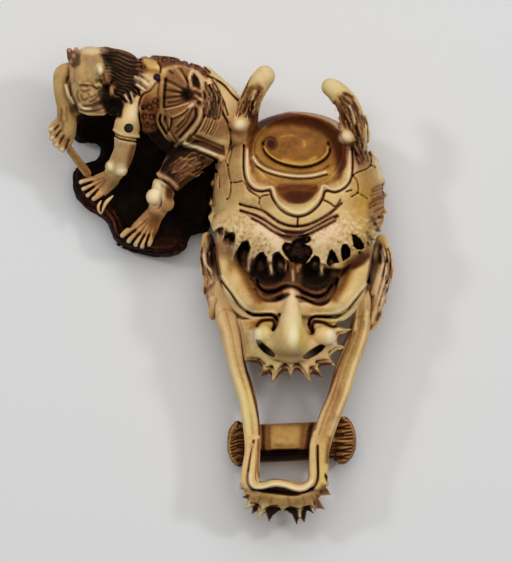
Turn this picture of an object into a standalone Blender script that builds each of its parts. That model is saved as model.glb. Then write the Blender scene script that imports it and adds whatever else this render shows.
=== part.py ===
"""A carved ivory netsuke: a small horned demon bent over a rock, joined to a big demon mask with a bowl in its skull.

The whole carving is one piece of ivory, and two dark horn dots are let into the demon's arm and shoulder.
It lies as it is shown: mask face up, resting on the rock, the back of the mask and a short log under the jaw.
+X runs across the mask, +Y from its chin to its crown, +Z up. Sizes in the tables are millimetres.
"""

import math

import bmesh
import bpy
from mathutils import Matrix, Vector

MM = 0.001

# Driving sizes of the mask, from its middle line and its resting face.
HEAD_HALF_WIDTH = 10.8
HEAD_CENTRE_Y = 4.1
HEAD_HALF_LENGTH = 10.7
HEAD_TOP_Z = 15.3
BOWL_RADIUS = 5.5
BOWL_TILT = math.radians(27)
JAW_TOP_Y = -7.5
JAW_REACH = 33.2
JAW_HALF_GAP = 3.95
JAW_SHIFT = -0.4
CHIN_HALF_WIDTH = 5.2
LOG_RADIUS = 2.6
LOG_LENGTH = 16.0
LOG_MIDDLE = (-0.5, -26.6)
BEARER_TURN = math.radians(2.3)
ROCK_TOP_Z = 4.2
DOT_RADII = {"elbow_dot": 0.55, "shoulder_dot": 0.42}
DOT_CLEARANCE = 0.1
DOT_DEPTH = 0.7

# How finely the fused carving is meshed.
FUSE_VOXEL = 0.26
CARVING_TRIANGLES = 9300


class Clay:
    """A heap of closed overlapping forms in one bmesh, in millimetres, which a voxel remesh fuses later."""

    def __init__(self, turn=0.0):
        self.heap = bmesh.new()
        self.frame = Matrix.Rotation(turn, 4, "Z")

    def ball(self, centre, radii, turn=(0, 0, 0)):
        """An ellipsoid, turned by degrees about X, Y and Z."""
        x, y, z = (math.radians(angle) for angle in turn)
        spin = Matrix.Rotation(z, 4, "Z") @ Matrix.Rotation(y, 4, "Y") @ Matrix.Rotation(x, 4, "X")
        place = self.frame @ Matrix.Translation(centre) @ spin @ Matrix.Diagonal((*radii, 1))
        bmesh.ops.create_uvsphere(self.heap, u_segments=24, v_segments=16, radius=1, matrix=place)

    def spike(self, base, tip, radius, tip_radius=0.1):
        """A straight pointed lock or claw."""
        base, tip = Vector(base), Vector(tip)
        along = tip - base
        place = Matrix.Translation((base + tip) / 2) @ along.to_track_quat("Z", "Y").to_matrix().to_4x4()
        bmesh.ops.create_cone(
            self.heap,
            cap_ends=True,
            segments=10,
            radius1=radius,
            radius2=tip_radius,
            depth=along.length,
            matrix=self.frame @ place,
        )

    def limb(self, points, radii):
        """A round limb along a smooth line through the points, with a radius at each and round ends."""
        line = smooth_line(points, radii)
        curve = bpy.data.curves.new("limb", "CURVE")
        curve.dimensions = "3D"
        curve.bevel_depth = 1
        curve.bevel_resolution = 3
        curve.use_fill_caps = True
        spline = curve.splines.new("POLY")
        spline.points.add(len(line) - 1)
        for point, (place, radius) in zip(spline.points, line):
            point.co = (*place, 1)
            point.radius = radius
        guide = bpy.data.objects.new("limb", curve)
        bpy.context.scene.collection.objects.link(guide)
        bpy.context.view_layer.update()
        mesh = bpy.data.meshes.new_from_object(guide.evaluated_get(bpy.context.evaluated_depsgraph_get()))
        mesh.transform(self.frame)
        tube = bmesh.new()
        tube.from_mesh(mesh)
        bmesh.ops.remove_doubles(tube, verts=tube.verts, dist=0.001)
        tube.to_mesh(mesh)
        tube.free()
        self.heap.from_mesh(mesh)
        bpy.data.objects.remove(guide)
        bpy.data.curves.remove(curve)
        bpy.data.meshes.remove(mesh)
        for place, radius in ((line[0]), (line[-1])):
            self.ball(place, (radius, radius, radius))


def smooth_line(points, radii, steps=5):
    """(place, radius) along a Catmull-Rom curve through the points."""
    knots = [Vector((*point, radius)) for point, radius in zip(points, radii)]
    knots = [2 * knots[0] - knots[1], *knots, 2 * knots[-1] - knots[-2]]
    line = []
    for before, start, end, after in zip(knots, knots[1:], knots[2:], knots[3:]):
        for step in range(steps):
            t = step / steps
            line.append(
                0.5
                * (
                    2 * start
                    + (end - before) * t
                    + (2 * before - 5 * start + 4 * end - after) * t**2
                    + (3 * start - before - 3 * end + after) * t**3
                )
            )
    line.append(knots[-2])
    return [(knot.xyz, knot.w) for knot in line]


def fan(count, first, last):
    """count values spaced evenly from first to last."""
    return [first + (last - first) * index / (count - 1) for index in range(count)]


def on_ring(centre, radius_x, radius_y, angle):
    """A point of a flat ellipse at this angle in degrees, counted from +X towards +Y."""
    turn = math.radians(angle)
    return centre[0] + radius_x * math.cos(turn), centre[1] + radius_y * math.sin(turn)


def new_object(name, mesh, collection):
    made = bpy.data.objects.new(name, mesh)
    collection.objects.link(made)
    return made


def cutter(name, shape, collection):
    """A closed helper mesh that cuts the carving and is not a part of it. shape fills its bmesh, in millimetres."""
    mesh = bpy.data.meshes.new(name)
    body = bmesh.new()
    shape(body)
    bmesh.ops.scale(body, vec=(MM, MM, MM), verts=body.verts)
    bmesh.ops.recalc_face_normals(body, faces=body.faces)
    body.to_mesh(mesh)
    body.free()
    made = new_object(name, mesh, collection)
    made.hide_render = True
    made.display_type = "WIRE"
    return made


# The mask.


def skull(clay):
    """The rounded head and the plain block under the face."""
    height = HEAD_TOP_Z - 6.3
    clay.ball((0, HEAD_CENTRE_Y, 6.3), (HEAD_HALF_WIDTH, HEAD_HALF_LENGTH, height))
    clay.ball((0, -4.5, 5.6), (9.8, 9.0, 7.4))
    clay.ball((0, 2.0, 1.6), (8.6, 9.0, 3.4))


def brow(clay, side):
    """One stippled brow pad with its fringe of pointed locks over the eye."""
    clay.ball((side * 4.9, -1.1, 13.0), (5.6, 3.2, 2.5), (0, side * 16, side * 16))
    for x in fan(7, 1.1, 10.3):
        y = -5.5 + 0.047 * x * x
        height = 15.0 - 0.045 * x * x
        clay.spike((side * x * 0.96, y + 2.9, height), (side * x, y, height - 0.7), 0.85, 0.15)


def cheek(clay, side):
    """The smooth swelling from the eye corner to the nose wing."""
    clay.ball((side * 6.9, -6.2, 9.2), (3.3, 4.6, 3.8), (0, 0, side * 28))
    clay.ball((side * 6.7, -12.4, 8.3), (2.0, 3.6, 2.0), (0, 0, side * 14))
    clay.limb(
        [(side * 9.9, -5.6, 10.2), (side * 8.2, -8.8, 11.0), (side * 5.4, -10.7, 11.6), (side * 3.0, -11.0, 12.2)],
        [0.9, 0.9, 0.8, 0.8],
    )


def nose(clay):
    clay.limb(
        [(0, -4.8, 12.6), (0, -8.0, 13.2), (0, -11.0, 14.6), (0, -13.6, 15.2)],
        [1.2, 1.1, 1.6, 2.2],
    )
    for side in (-1, 1):
        clay.ball((side * 3.8, -13.2, 13.0), (1.5, 1.6, 1.5))
        clay.ball((side * 2.3, -14.4, 13.4), (1.7, 1.3, 1.3))


def upper_lip(clay):
    """The lip under the nose, with a moustache of locks fanned round it."""
    clay.ball((0, -14.6, 10.9), (6.2, 3.2, 2.0))
    for angle in fan(11, -174, -6):
        reach = 1.0 + 0.1 * math.cos(math.radians(6 * angle))
        x, y = on_ring((0, -13.6), 7.0 * reach, 5.9 * reach, angle)
        root_x, root_y = on_ring((0, -13.6), 4.4, 2.6, angle)
        clay.spike((root_x, root_y, 11.0), (x, y, 10.7), 0.95, 0.2)


def jaw_line(side, y):
    """How far out the middle of a jaw bar is: an even slope that curves in to the corner of the lower lip."""
    part = (JAW_TOP_Y - y) / (JAW_TOP_Y + JAW_REACH - 4.5)
    half = 9.7 + (JAW_HALF_GAP - 9.7) * (part + 0.06 * math.sin(math.pi * part))
    return side * half + JAW_SHIFT * max(0.0, part) ** 3


def jaw_side(clay, side):
    """One long cheek bar from the temple down to the corner of the lower lip, tall and thin like a plank."""
    for height, top, radius in ((8.4, 7.6, 1.2), (6.2, 5.6, 1.1), (4.2, 3.8, 1.0)):
        stops = fan(7, JAW_TOP_Y, -JAW_REACH + 3.6)
        points = [(side * 9.7, -1.5, height)]
        points += [(jaw_line(side, y), y, z) for y, z in zip(stops, fan(7, height, top))]
        clay.limb(points, [1.7, 1.4, *[radius] * 6])


def chin(clay):
    """The lower lip, the chin and the beard of pointed locks round it."""
    lip_y = -JAW_REACH + 1.2
    left, right = jaw_line(-1, -28.6), jaw_line(1, -28.6)
    middle = (left + right) / 2
    clay.limb(
        [
            (left, -27.0, 8.6),
            (left, -30.2, 8.9),
            (middle - 2.8, lip_y - 0.2, 9.2),
            (middle, lip_y + 0.2, 9.4),
            (middle + 2.8, lip_y - 0.2, 9.2),
            (right, -30.2, 8.9),
            (right, -27.0, 8.6),
        ],
        [0.5, 0.75, 0.8, 0.75, 0.8, 0.75, 0.5],
    )
    clay.ball((0, -JAW_REACH, 6.7), (CHIN_HALF_WIDTH, 2.3, 2.1))
    for index, angle in enumerate(fan(15, -194, 14)):
        reach = 1.12 if index % 2 else 1.0
        x, y = on_ring((-0.1, -31.6), 5.7 * reach, 5.4 * reach, angle)
        root_x, root_y = on_ring((-0.1, -31.6), 3.9, 2.6, angle)
        clay.spike((root_x, root_y, 6.9), (x, y, 5.9), 1.05, 0.2)


def horns(clay):
    """Two worn horns, the left one nearly straight and the right one curled in, each with a knob at its foot."""
    clay.limb(
        [(-7.7, 11.6, 10.4), (-7.1, 13.7, 11.4), (-6.1, 16.4, 12.4), (-5.0, 19.2, 13.0)],
        [1.7, 1.5, 1.45, 1.5],
    )
    clay.limb(
        [(6.8, 9.8, 10.4), (6.75, 12.4, 11.6), (6.0, 14.8, 12.6), (4.7, 16.9, 13.2), (3.5, 18.1, 13.4)],
        [1.8, 1.7, 1.55, 1.4, 1.25],
    )
    clay.ball((-7.8, 12.9, 12.6), (1.0, 1.1, 1.0))
    clay.ball((5.8, 11.4, 13.0), (1.0, 1.0, 1.0))


def side_hair(clay, side):
    """Tufts beside the cheek, and the small teeth along the edge of the skull."""
    for y, length in ((-1.8, 2.4), (-3.6, 2.9), (-5.4, 2.9), (-7.4, 2.5), (-10.0, 2.3), (-12.4, 2.2), (-14.6, 2.2)):
        inner = min(9.4, abs(jaw_line(side, y)) - 0.2)
        clay.spike((side * inner, y - 0.4, 7.8), (side * (inner + length), y + 0.7, 8.2), 1.0, 0.2)
    for angle in fan(8, -18, 44):
        x, y = on_ring((0, HEAD_CENTRE_Y), HEAD_HALF_WIDTH - 0.5, HEAD_HALF_LENGTH - 0.5, angle)
        tip_x, tip_y = on_ring((0, HEAD_CENTRE_Y - 1.0), HEAD_HALF_WIDTH + 0.7, HEAD_HALF_LENGTH + 0.4, angle)
        clay.spike((side * x, y, 8.4), (side * tip_x, tip_y, 8.0), 0.7)


def log(clay):
    """The short round log behind the jaw, which the cord passes round. It lies square to the bearer's frame."""
    x, y = LOG_MIDDLE
    half = LOG_LENGTH / 2 - 1.4
    clay.limb([(x + part * (half - 1), y, LOG_RADIUS - 0.1) for part in (-1, 0, 1)], [2.4, 2.35, 2.4])
    for side in (-1, 1):
        clay.ball((x + side * half, y, LOG_RADIUS - 0.1), (1.5, 2.6, 2.6))


# The bearer and his rock. His frame is the mask's frame turned by BEARER_TURN.


def rock(clay):
    """The dark rock: a heap of low lobes round a small bay under the demon's hand."""
    lobes = [
        ((-24.4, 13.9), (4.5, 2.6)),
        ((-21.4, 10.2), (3.4, 3.4)),
        ((-25.2, 7.3), (2.4, 1.5)),
        ((-26.1, 4.8), (2.1, 2.0)),
        ((-24.6, 3.1), (2.5, 2.1)),
        ((-21.9, 1.0), (3.0, 2.5)),
        ((-19.6, -0.2), (3.0, 2.8)),
        ((-16.5, -0.5), (3.0, 2.7)),
        ((-14.0, 1.9), (2.3, 2.5)),
        ((-17.2, 5.5), (5.8, 6.2)),
        ((-12.6, 5.4), (2.6, 4.6)),
        ((-15.0, 11.0), (5.6, 5.4)),
    ]
    for (x, y), (radius_x, radius_y) in lobes:
        clay.ball((x, y, ROCK_TOP_Z * 0.35), (radius_x, radius_y, ROCK_TOP_Z * 0.65))


def torso(clay):
    """The bent back in its jacket, the bundle tied on it and the short skirt that runs up to the mask."""
    clay.limb([(-19.4, 18.6, 11.6), (-15.8, 17.6, 11.6), (-11.6, 14.6, 11.0)], [3.2, 4.3, 4.2])
    clay.ball((-14.8, 16.4, 12.4), (4.0, 4.2, 3.4), (0, 0, -18))
    clay.ball((-14.6, 15.6, 14.4), (3.6, 3.4, 2.0), (0, 8, -18))
    for angle in fan(6, 150, 270):
        x, y = on_ring((-12.6, 16.6), 5.0, 5.4, angle)
        clay.limb([(-12.6, 16.6, 15.4), (x * 0.5 - 6.4, y * 0.5 + 8.1, 16.3), (x, y, 14.6)], [0.3, 0.42, 0.3])
    clay.limb([(-12.5, 16.6, 15.6), (-12.4, 19.0, 14.6), (-11.0, 19.6, 13.2)], [0.9, 0.7, 0.4])
    clay.limb([(-12.5, 16.6, 15.6), (-11.2, 16.6, 14.8), (-10.4, 15.4, 13.4)], [0.9, 0.8, 0.5])
    clay.limb([(-11.6, 14.6, 9.6), (-8.4, 11.0, 8.4)], [4.2, 3.4])
    clay.limb([(-10.0, 18.0, 10.6), (-7.6, 15.4, 10.0), (-6.4, 13.0, 9.4)], [1.2, 1.4, 1.6])
    clay.limb([(-14.8, 10.8, 9.4), (-11.6, 9.6, 9.0), (-8.6, 9.4, 8.6)], [1.0, 1.0, 1.0])
    clay.ball((-17.4, 12.6, 7.6), (4.6, 5.0, 4.6))


def head(clay):
    """The demon's head, seen from above, with two stub horns, ears, and hair down his neck."""
    clay.ball((-25.9, 19.0, 13.6), (2.5, 3.7, 2.6), (0, 0, 12))
    clay.ball((-25.2, 16.2, 12.2), (2.1, 2.3, 2.2))
    clay.ball((-25.4, 16.3, 13.9), (0.6, 0.8, 0.6))
    clay.ball((-27.8, 21.9, 13.6), (0.8, 0.8, 0.9))
    clay.ball((-24.1, 19.7, 15.8), (0.65, 0.85, 0.9))
    clay.ball((-23.2, 17.3, 12.6), (0.5, 0.9, 0.7))
    clay.ball((-28.2, 16.4, 12.2), (0.4, 0.7, 0.6))
    clay.ball((-22.0, 19.9, 13.2), (3.2, 2.6, 2.6))
    clay.ball((-19.6, 19.3, 13.6), (2.4, 2.4, 2.4))
    for x, y in ((-18.4, 16.6), (-19.4, 15.9), (-20.6, 15.4)):
        clay.spike((x - 1.8, y + 1.9, 15.0), (x, y, 15.2), 0.7, 0.2)


def hand(clay, palm, knuckles, tips, radius):
    """A palm with fingers or toes from the knuckles to the tips."""
    clay.limb(palm, [radius * 1.5, radius * 2.1])
    for root, tip in zip(knuckles, tips):
        middle = [(a + b) / 2 for a, b in zip(root, tip)]
        middle[2] += radius * 0.6
        clay.limb([root, middle, tip], [radius, radius, radius * 0.85])


def arms(clay):
    """The right fist on the staff, and the left arm with its rolled sleeve, the hand spread on the rock."""
    clay.limb(
        [(-23.0, 19.4, 11.4), (-28.0, 19.6, 11.8), (-29.2, 17.0, 11.6), (-29.0, 14.4, 10.6), (-29.1, 12.6, 9.6)],
        [1.5, 1.1, 1.0, 1.05, 1.05],
    )
    clay.ball((-29.8, 11.6, 8.8), (1.35, 1.9, 1.3), (0, 0, 20))
    for x, y in ((-30.9, 12.2), (-30.6, 11.2), (-30.1, 10.3), (-29.4, 9.8)):
        clay.ball((x, y, 8.5), (0.42, 0.55, 0.5))
    clay.limb([(-29.7, 11.2, 8.2), (-27.6, 8.4, 6.4), (-25.6, 5.6, 4.6)], [0.6, 0.58, 0.58])
    clay.limb(
        [(-19.2, 18.4, 13.2), (-20.6, 15.6, 13.0), (-21.2, 12.8, 12.0)],
        [1.9, 1.5, 1.75],
    )
    clay.limb(
        [(-21.2, 12.8, 12.0), (-21.5, 10.6, 10.2), (-21.9, 8.8, 8.2), (-22.8, 7.4, 6.9)],
        [1.65, 1.45, 1.25, 0.95],
    )
    clay.ball((-23.3, 7.9, 7.4), (0.8, 0.9, 0.8))
    clay.ball((-22.1, 7.5, 7.4), (0.95, 0.9, 0.9))
    knuckles = [(-25.2, 6.4, 5.4), (-25.0, 5.6, 5.5), (-24.7, 4.8, 5.5), (-24.2, 4.3, 5.4)]
    tips = [(-27.1, 6.1, 4.4), (-26.6, 5.2, 4.5), (-26.1, 4.3, 4.5), (-25.3, 3.8, 4.4)]
    hand(clay, [(-23.0, 6.8, 6.4), (-24.4, 5.6, 5.6)], knuckles, tips, 0.38)
    clay.limb([(-23.1, 4.2, 4.8), (-24.5, 3.5, 4.8), (-24.4, 2.2, 4.4)], [0.4, 0.38, 0.34])


def leg(clay):
    """The bent left leg in its rough trouser, and the bare foot on the rock."""
    clay.limb([(-10.6, 10.4, 7.6), (-13.4, 9.2, 8.8), (-15.6, 6.8, 8.4)], [2.6, 2.5, 2.0])
    clay.limb([(-16.0, 5.8, 7.8), (-17.2, 3.8, 7.2), (-18.4, 2.2, 6.0)], [1.85, 1.6, 1.1])
    clay.ball((-17.8, 4.1, 7.6), (1.0, 1.2, 1.1))
    clay.ball((-16.0, 3.1, 7.2), (0.95, 1.0, 1.0))
    ankle = (-18.4, 2.2, 6.0)
    toe_x = fan(5, -21.7, -18.8)
    toe_y = [-0.7, -1.4, -1.8, -2.1, -2.0]
    roots = [(ankle[0] + (x - ankle[0]) * 0.62, ankle[1] + (y - ankle[1]) * 0.62, 5.4) for x, y in zip(toe_x, toe_y)]
    tips = [(x, y, 4.5) for x, y in zip(toe_x, toe_y)]
    hand(clay, [ankle, (-19.4, 0.4, 5.3)], roots, tips, 0.42)
    clay.ball((-19.6, 0.0, 4.9), (1.5, 1.3, 0.9), (0, 0, 10))


# Cutters.


def bowl_shape(body):
    """The bowl in the skull: a wide round hollow, and a small one that opens its front lip."""
    tilt = Matrix.Rotation(-BOWL_TILT, 4, "X")
    wide = Matrix.Translation((-0.2, 9.6, 15.2)) @ tilt @ Matrix.Diagonal((BOWL_RADIUS, 5.5, 3.4, 1))
    bmesh.ops.create_uvsphere(body, u_segments=32, v_segments=16, radius=1, matrix=wide)


def bowl_lip_shape(body):
    lip = Matrix.Translation((-0.1, 4.9, 15.9)) @ Matrix.Diagonal((3.0, 2.9, 2.6, 1))
    bmesh.ops.create_uvsphere(body, u_segments=24, v_segments=12, radius=1, matrix=lip)


def eye_shape(side):
    def shape(body):
        place = Matrix.Translation((side * 3.6, -6.1, 13.4)) @ Matrix.Diagonal((2.7, 1.7, 2.2, 1))
        bmesh.ops.create_uvsphere(body, u_segments=20, v_segments=10, radius=1, matrix=place)

    return shape


def mouth_roof_shape(body):
    """What is cut away under the upper lip, so that the mask thins towards the open mouth."""
    place = Matrix.Translation((0, -18.2, 1.5)) @ Matrix.Diagonal((6.0, 5.6, 7.0, 1))
    bmesh.ops.create_uvsphere(body, u_segments=28, v_segments=16, radius=1, matrix=place)


def ground_shape(body):
    place = Matrix.Translation((-8, -5, -10)) @ Matrix.Diagonal((80, 100, 20, 1))
    bmesh.ops.create_cube(body, size=1, matrix=place)


def dot_shape(centre, radius, low, high, segments=20):
    """A short round peg that stands along Z in the bearer's frame."""

    def shape(body):
        turn = Matrix.Rotation(BEARER_TURN, 4, "Z")
        place = turn @ Matrix.Translation((*centre, (low + high) / 2))
        bmesh.ops.create_cone(
            body,
            cap_ends=True,
            segments=segments,
            radius1=radius,
            radius2=radius,
            depth=high - low,
            matrix=place,
        )

    return shape


DOT_PLACES = {"elbow_dot": ((-21.1, 12.8), 13.6), "shoulder_dot": ((-17.5, 19.2), 15.4)}


def cut(target, tool):
    boolean = target.modifiers.new(tool.name, "BOOLEAN")
    boolean.operation = "DIFFERENCE"
    boolean.object = tool


def material(name, colour, roughness):
    made = bpy.data.materials.new(name)
    made.use_nodes = True
    shader = made.node_tree.nodes["Principled BSDF"]
    shader.inputs["Base Color"].default_value = (*colour, 1)
    shader.inputs["Roughness"].default_value = roughness
    shader.inputs["Metallic"].default_value = 0
    return made


def heap_of_forms():
    """All the forms of the carving as one mesh in metres, still overlapping."""
    mask, bearer = Clay(), Clay(BEARER_TURN)
    skull(mask)
    nose(mask)
    upper_lip(mask)
    chin(mask)
    horns(mask)
    for side in (-1, 1):
        brow(mask, side)
        cheek(mask, side)
        jaw_side(mask, side)
        side_hair(mask, side)
    for build in (rock, torso, head, arms, leg, log):
        build(bearer)
    mesh = bpy.data.meshes.new("carving")
    bearer.heap.to_mesh(mesh)
    mask.heap.from_mesh(mesh)
    bmesh.ops.scale(mask.heap, vec=(MM, MM, MM), verts=mask.heap.verts)
    bmesh.ops.recalc_face_normals(mask.heap, faces=mask.heap.faces)
    mask.heap.to_mesh(mesh)
    mask.heap.free()
    bearer.heap.free()
    return mesh


def main():
    for old in list(bpy.data.objects):
        bpy.data.objects.remove(old)
    solids = bpy.data.collections.new("netsuke")
    tools = bpy.data.collections.new("cutters")
    for collection in (solids, tools):
        bpy.context.scene.collection.children.link(collection)

    carving = new_object("ivory_carving", heap_of_forms(), solids)
    carving.data.materials.append(material("stained_ivory", (0.66, 0.5, 0.27), 0.35))
    fuse = carving.modifiers.new("fuse", "REMESH")
    fuse.mode = "VOXEL"
    fuse.voxel_size = FUSE_VOXEL * MM
    cut(carving, cutter("bowl_cutter", bowl_shape, tools))
    cut(carving, cutter("bowl_lip_cutter", bowl_lip_shape, tools))
    cut(carving, cutter("left_eye_cutter", eye_shape(-1), tools))
    cut(carving, cutter("right_eye_cutter", eye_shape(1), tools))
    cut(carving, cutter("mouth_roof_cutter", mouth_roof_shape, tools))
    settle = carving.modifiers.new("settle", "REMESH")
    settle.mode = "VOXEL"
    settle.voxel_size = FUSE_VOXEL * MM
    soften = carving.modifiers.new("soften", "SMOOTH")
    soften.factor = 0.5
    soften.iterations = 2
    bpy.context.view_layer.update()
    graph = bpy.context.evaluated_depsgraph_get()
    fine = carving.evaluated_get(graph).to_mesh()
    fine.calc_loop_triangles()
    thin = carving.modifiers.new("thin", "DECIMATE")
    thin.ratio = CARVING_TRIANGLES / len(fine.loop_triangles)
    cut(carving, cutter("ground_cutter", ground_shape, tools))

    for name, (centre, top) in DOT_PLACES.items():
        radius = DOT_RADII[name]
        socket = dot_shape(centre, radius + DOT_CLEARANCE, top - DOT_DEPTH - DOT_CLEARANCE, top + 3)
        cut(carving, cutter(name + "_socket", socket, tools))
        peg = cutter(name, dot_shape(centre, radius, top - DOT_DEPTH, top), solids)
        peg.hide_render = False
        peg.display_type = "TEXTURED"
        peg.data.materials.append(material("dark_horn_" + name, (0.02, 0.015, 0.015), 0.25))


main()
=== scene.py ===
# %% [markdown]
# # A carved ivory netsuke
# A big horned demon mask, and a small demon who bends over a rock and carries it. The forms are carved as a
# sculptor would: a block of clay, which is a grid of distances, takes lumps, ropes and walls, loses what is
# cut away, and is then engraved from above. Plan positions are read off squared paper in eighths of a
# millimetre, counted right and down from the sheet's corner. Heights are millimetres above the table.

import math

import bpy
import numpy as np
from mathutils import Matrix, Vector


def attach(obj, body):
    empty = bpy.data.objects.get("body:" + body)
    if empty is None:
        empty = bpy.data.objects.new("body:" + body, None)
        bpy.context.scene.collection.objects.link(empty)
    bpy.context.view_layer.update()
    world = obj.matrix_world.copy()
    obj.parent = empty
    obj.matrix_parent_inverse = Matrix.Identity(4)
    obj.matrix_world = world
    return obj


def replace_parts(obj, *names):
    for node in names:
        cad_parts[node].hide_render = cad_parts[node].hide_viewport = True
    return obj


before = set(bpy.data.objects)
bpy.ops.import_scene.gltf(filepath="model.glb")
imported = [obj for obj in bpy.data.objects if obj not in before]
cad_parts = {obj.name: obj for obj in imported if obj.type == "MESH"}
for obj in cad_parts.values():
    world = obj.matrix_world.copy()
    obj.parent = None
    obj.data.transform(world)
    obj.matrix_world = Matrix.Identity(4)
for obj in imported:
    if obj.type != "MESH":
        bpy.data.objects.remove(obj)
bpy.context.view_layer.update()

PAPER_X, PAPER_Y, SQUARES = 297, 230, 8  # the sheet's square over the mask's middle, and squares per mm
LEAN = math.radians(2.29)  # the paper is turned so that the mask stands upright
FAR = 4.0  # distances are kept up to this many mm
MOST_TRIANGLES = 190000  # of one piece
STEP = 0.11  # mm between the clay's grid points


def on_plan(point):
    """A paper point (right, down, height) as (x, y, z) in millimetres."""
    return (point[0] - PAPER_X) / SQUARES, (PAPER_Y - point[1]) / SQUARES, *point[2:]


print("pieces of the frame:", sorted(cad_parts))

# %% [markdown]
# ## Clay
# A carver starts from a lump and takes it to its shape. A modeller could push a mesh about with sculpting
# brushes, but a script cannot feel its way, so here the lump is a grid of numbers: each says how far the
# surface is from that point, negative inside. Adding a form takes the smaller distance, cutting takes the
# larger, and blending the two softly gives the melted joins that ivory has. The same block carries a map of
# heights and maps of paint.

# %% Clay block
# stain also holds painted shade, pale also painted highlights, and grey also painted glints
LAYERS = ("stain", "pale", "red", "honey", "grey")  # brown dye, polish, rust, warmth and chalky grey
MARGIN = 0.3  # mm that are worked out beyond a form's own box


class Block:
    def __init__(self, left, top, right, bottom, low_z, high_z, step):
        """A block over a rectangle of the paper, between two heights."""
        low_x, high_y = on_plan((left, top))
        high_x, low_y = on_plan((right, bottom))
        self.step = step
        self.low = np.array((low_x, low_y, low_z))
        spans = np.array((high_x, high_y, high_z)) - self.low
        self.shape = tuple(int(n) for n in np.ceil(spans / step) + 1)
        self.field = np.full(self.shape, FAR, np.float32)
        self.relief = np.zeros(self.shape[:2], np.float32)
        self.paint = {name: np.zeros(self.shape[:2], np.float32) for name in LAYERS}

    def axis(self, which, first=0, last=None):
        """The millimetres of the grid points along one axis."""
        steps = np.arange(first, self.shape[which] if last is None else last, dtype=np.float32)
        return (self.low[which] + steps * self.step).astype(np.float32)

    def window(self, low, high):
        """The part of the grid that a box covers, as slices and as coordinates."""
        first = np.clip(np.floor((np.array(low) - self.low[: len(low)]) / self.step), 0, None).astype(int)
        last = np.ceil((np.array(high) - self.low[: len(high)]) / self.step).astype(int) + 1
        last = np.clip(np.minimum(last, self.shape[: len(high)]), first, None)
        slices = tuple(slice(a, b) for a, b in zip(first, last))
        return slices, np.ix_(*[self.axis(i, first[i], last[i]) for i in range(len(low))])

    def add(self, form, soft=0.3):
        """Joins a form to the clay; soft is how far in mm the two melt together."""
        self._join(form, soft, 1)

    def cut(self, form, soft=0.2):
        """Takes a form away, with a rim that is soft by so many mm."""
        self._join(form, soft, -1)

    def _join(self, form, soft, sign):
        low, high, distance = form
        slices, axes = self.window(np.array(low) - soft - MARGIN, np.array(high) + soft + MARGIN)
        old = self.field[slices] * sign
        if old.size == 0:
            return
        new = distance(*axes)
        if soft > 0:
            mix = np.clip(0.5 + 0.5 * (old - new) / soft, 0, 1)
            joined = old + (new - old) * mix - soft * mix * (1 - mix)
        else:
            joined = np.minimum(old, new)
        self.field[slices] = joined * sign


print("a block of clay carries", len(LAYERS), "layers of paint")

# %% [markdown]
# ### Lines and outlines
# Horns, hems, lids and hairs are all curves. Blender's Bezier curves would draw them, but the clay needs to
# know how far each of its points is from a line, so a spline through a few marks is turned into short
# straight pieces, and the distance to the nearest piece is measured.

# %% Lines and outlines
def smooth(points, steps=6):
    """A Catmull-Rom curve through the points, each a tuple of any length."""
    knots = [np.array(point, float) for point in points]
    if len(knots) < 3:
        return np.array(knots)
    knots = [2 * knots[0] - knots[1], *knots, 2 * knots[-1] - knots[-2]]
    line = []
    for before, start, end, after in zip(knots, knots[1:], knots[2:], knots[3:]):
        for t in np.arange(steps) / steps:
            pull = (end - before) * t + (2 * before - 5 * start + 4 * end - after) * t**2
            line.append(start + 0.5 * (pull + (3 * start - before - 3 * end + after) * t**3))
    return np.array([*line, knots[-2]])


def turned(x, y, degrees):
    """x and y seen from axes turned by this angle."""
    c, s = math.cos(math.radians(degrees)), math.sin(math.radians(degrees))
    return x * c + y * s, y * c - x * s


def to_line(x, y, line):
    """Distance in plan to a line of (x, y, half width), less the half width."""
    best = None
    for start, end in zip(line, line[1:]):
        ax, ay = end[0] - start[0], end[1] - start[1]
        px, py = x - start[0], y - start[1]
        t = np.clip((px * ax + py * ay) / (ax * ax + ay * ay + 1e-9), 0, 1)
        gap = np.sqrt((px - t * ax) ** 2 + (py - t * ay) ** 2) - start[2] - t * (end[2] - start[2])
        best = gap if best is None else np.minimum(best, gap)
    return best


def to_outline(x, y, spots):
    """Distance in plan to a closed outline of paper spots, negative inside."""
    line = np.array([on_plan(spot) for spot in spots])
    inside = False
    for (ax, ay), (bx, by) in zip(line, np.roll(line, -1, 0)):
        at = ax + (y - ay) * (bx - ax) / (by - ay + 1e-9)
        inside ^= ((ay > y) != (by > y)) & (x < at)
    gap = to_line(x, y, np.column_stack((np.vstack((line, line[:1])), np.zeros(len(line) + 1))))
    return np.where(inside, -gap, gap)


print("a curve through three marks has", len(smooth([(0, 0), (1, 1), (2, 0)])), "points")

# %% [markdown]
# ### Four forms
# Everything here is built of balls, ropes, walls and slabs: skulls and knuckles, horns and curls, planks,
# and plates with a cut outline. Each is a function that gives a distance for arrays of x, y and z, and
# comes with the box outside which it need not be worked out, which keeps the script fast.

# %% Forms
def ball(spot, radii, turn=0, pitch=0, roll=0):
    """An ellipsoid at a paper spot, turned about Z, pitched about its own X and rolled about its own Y."""
    centre = np.array(on_plan(spot))
    reach = max(radii)

    def distance(x, y, z):
        x, y, z = x - centre[0], y - centre[1], z - centre[2]
        x, y = turned(x, y, turn)
        y, z = turned(y, z, pitch)
        x, z = turned(x, z, -roll)
        near = np.sqrt((x / radii[0]) ** 2 + (y / radii[1]) ** 2 + (z / radii[2]) ** 2)
        slope = np.sqrt((x / radii[0] ** 2) ** 2 + (y / radii[1] ** 2) ** 2 + (z / radii[2] ** 2) ** 2)
        return near * (near - 1) / np.maximum(slope, 1e-5)

    return centre - reach, centre + reach, distance


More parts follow.
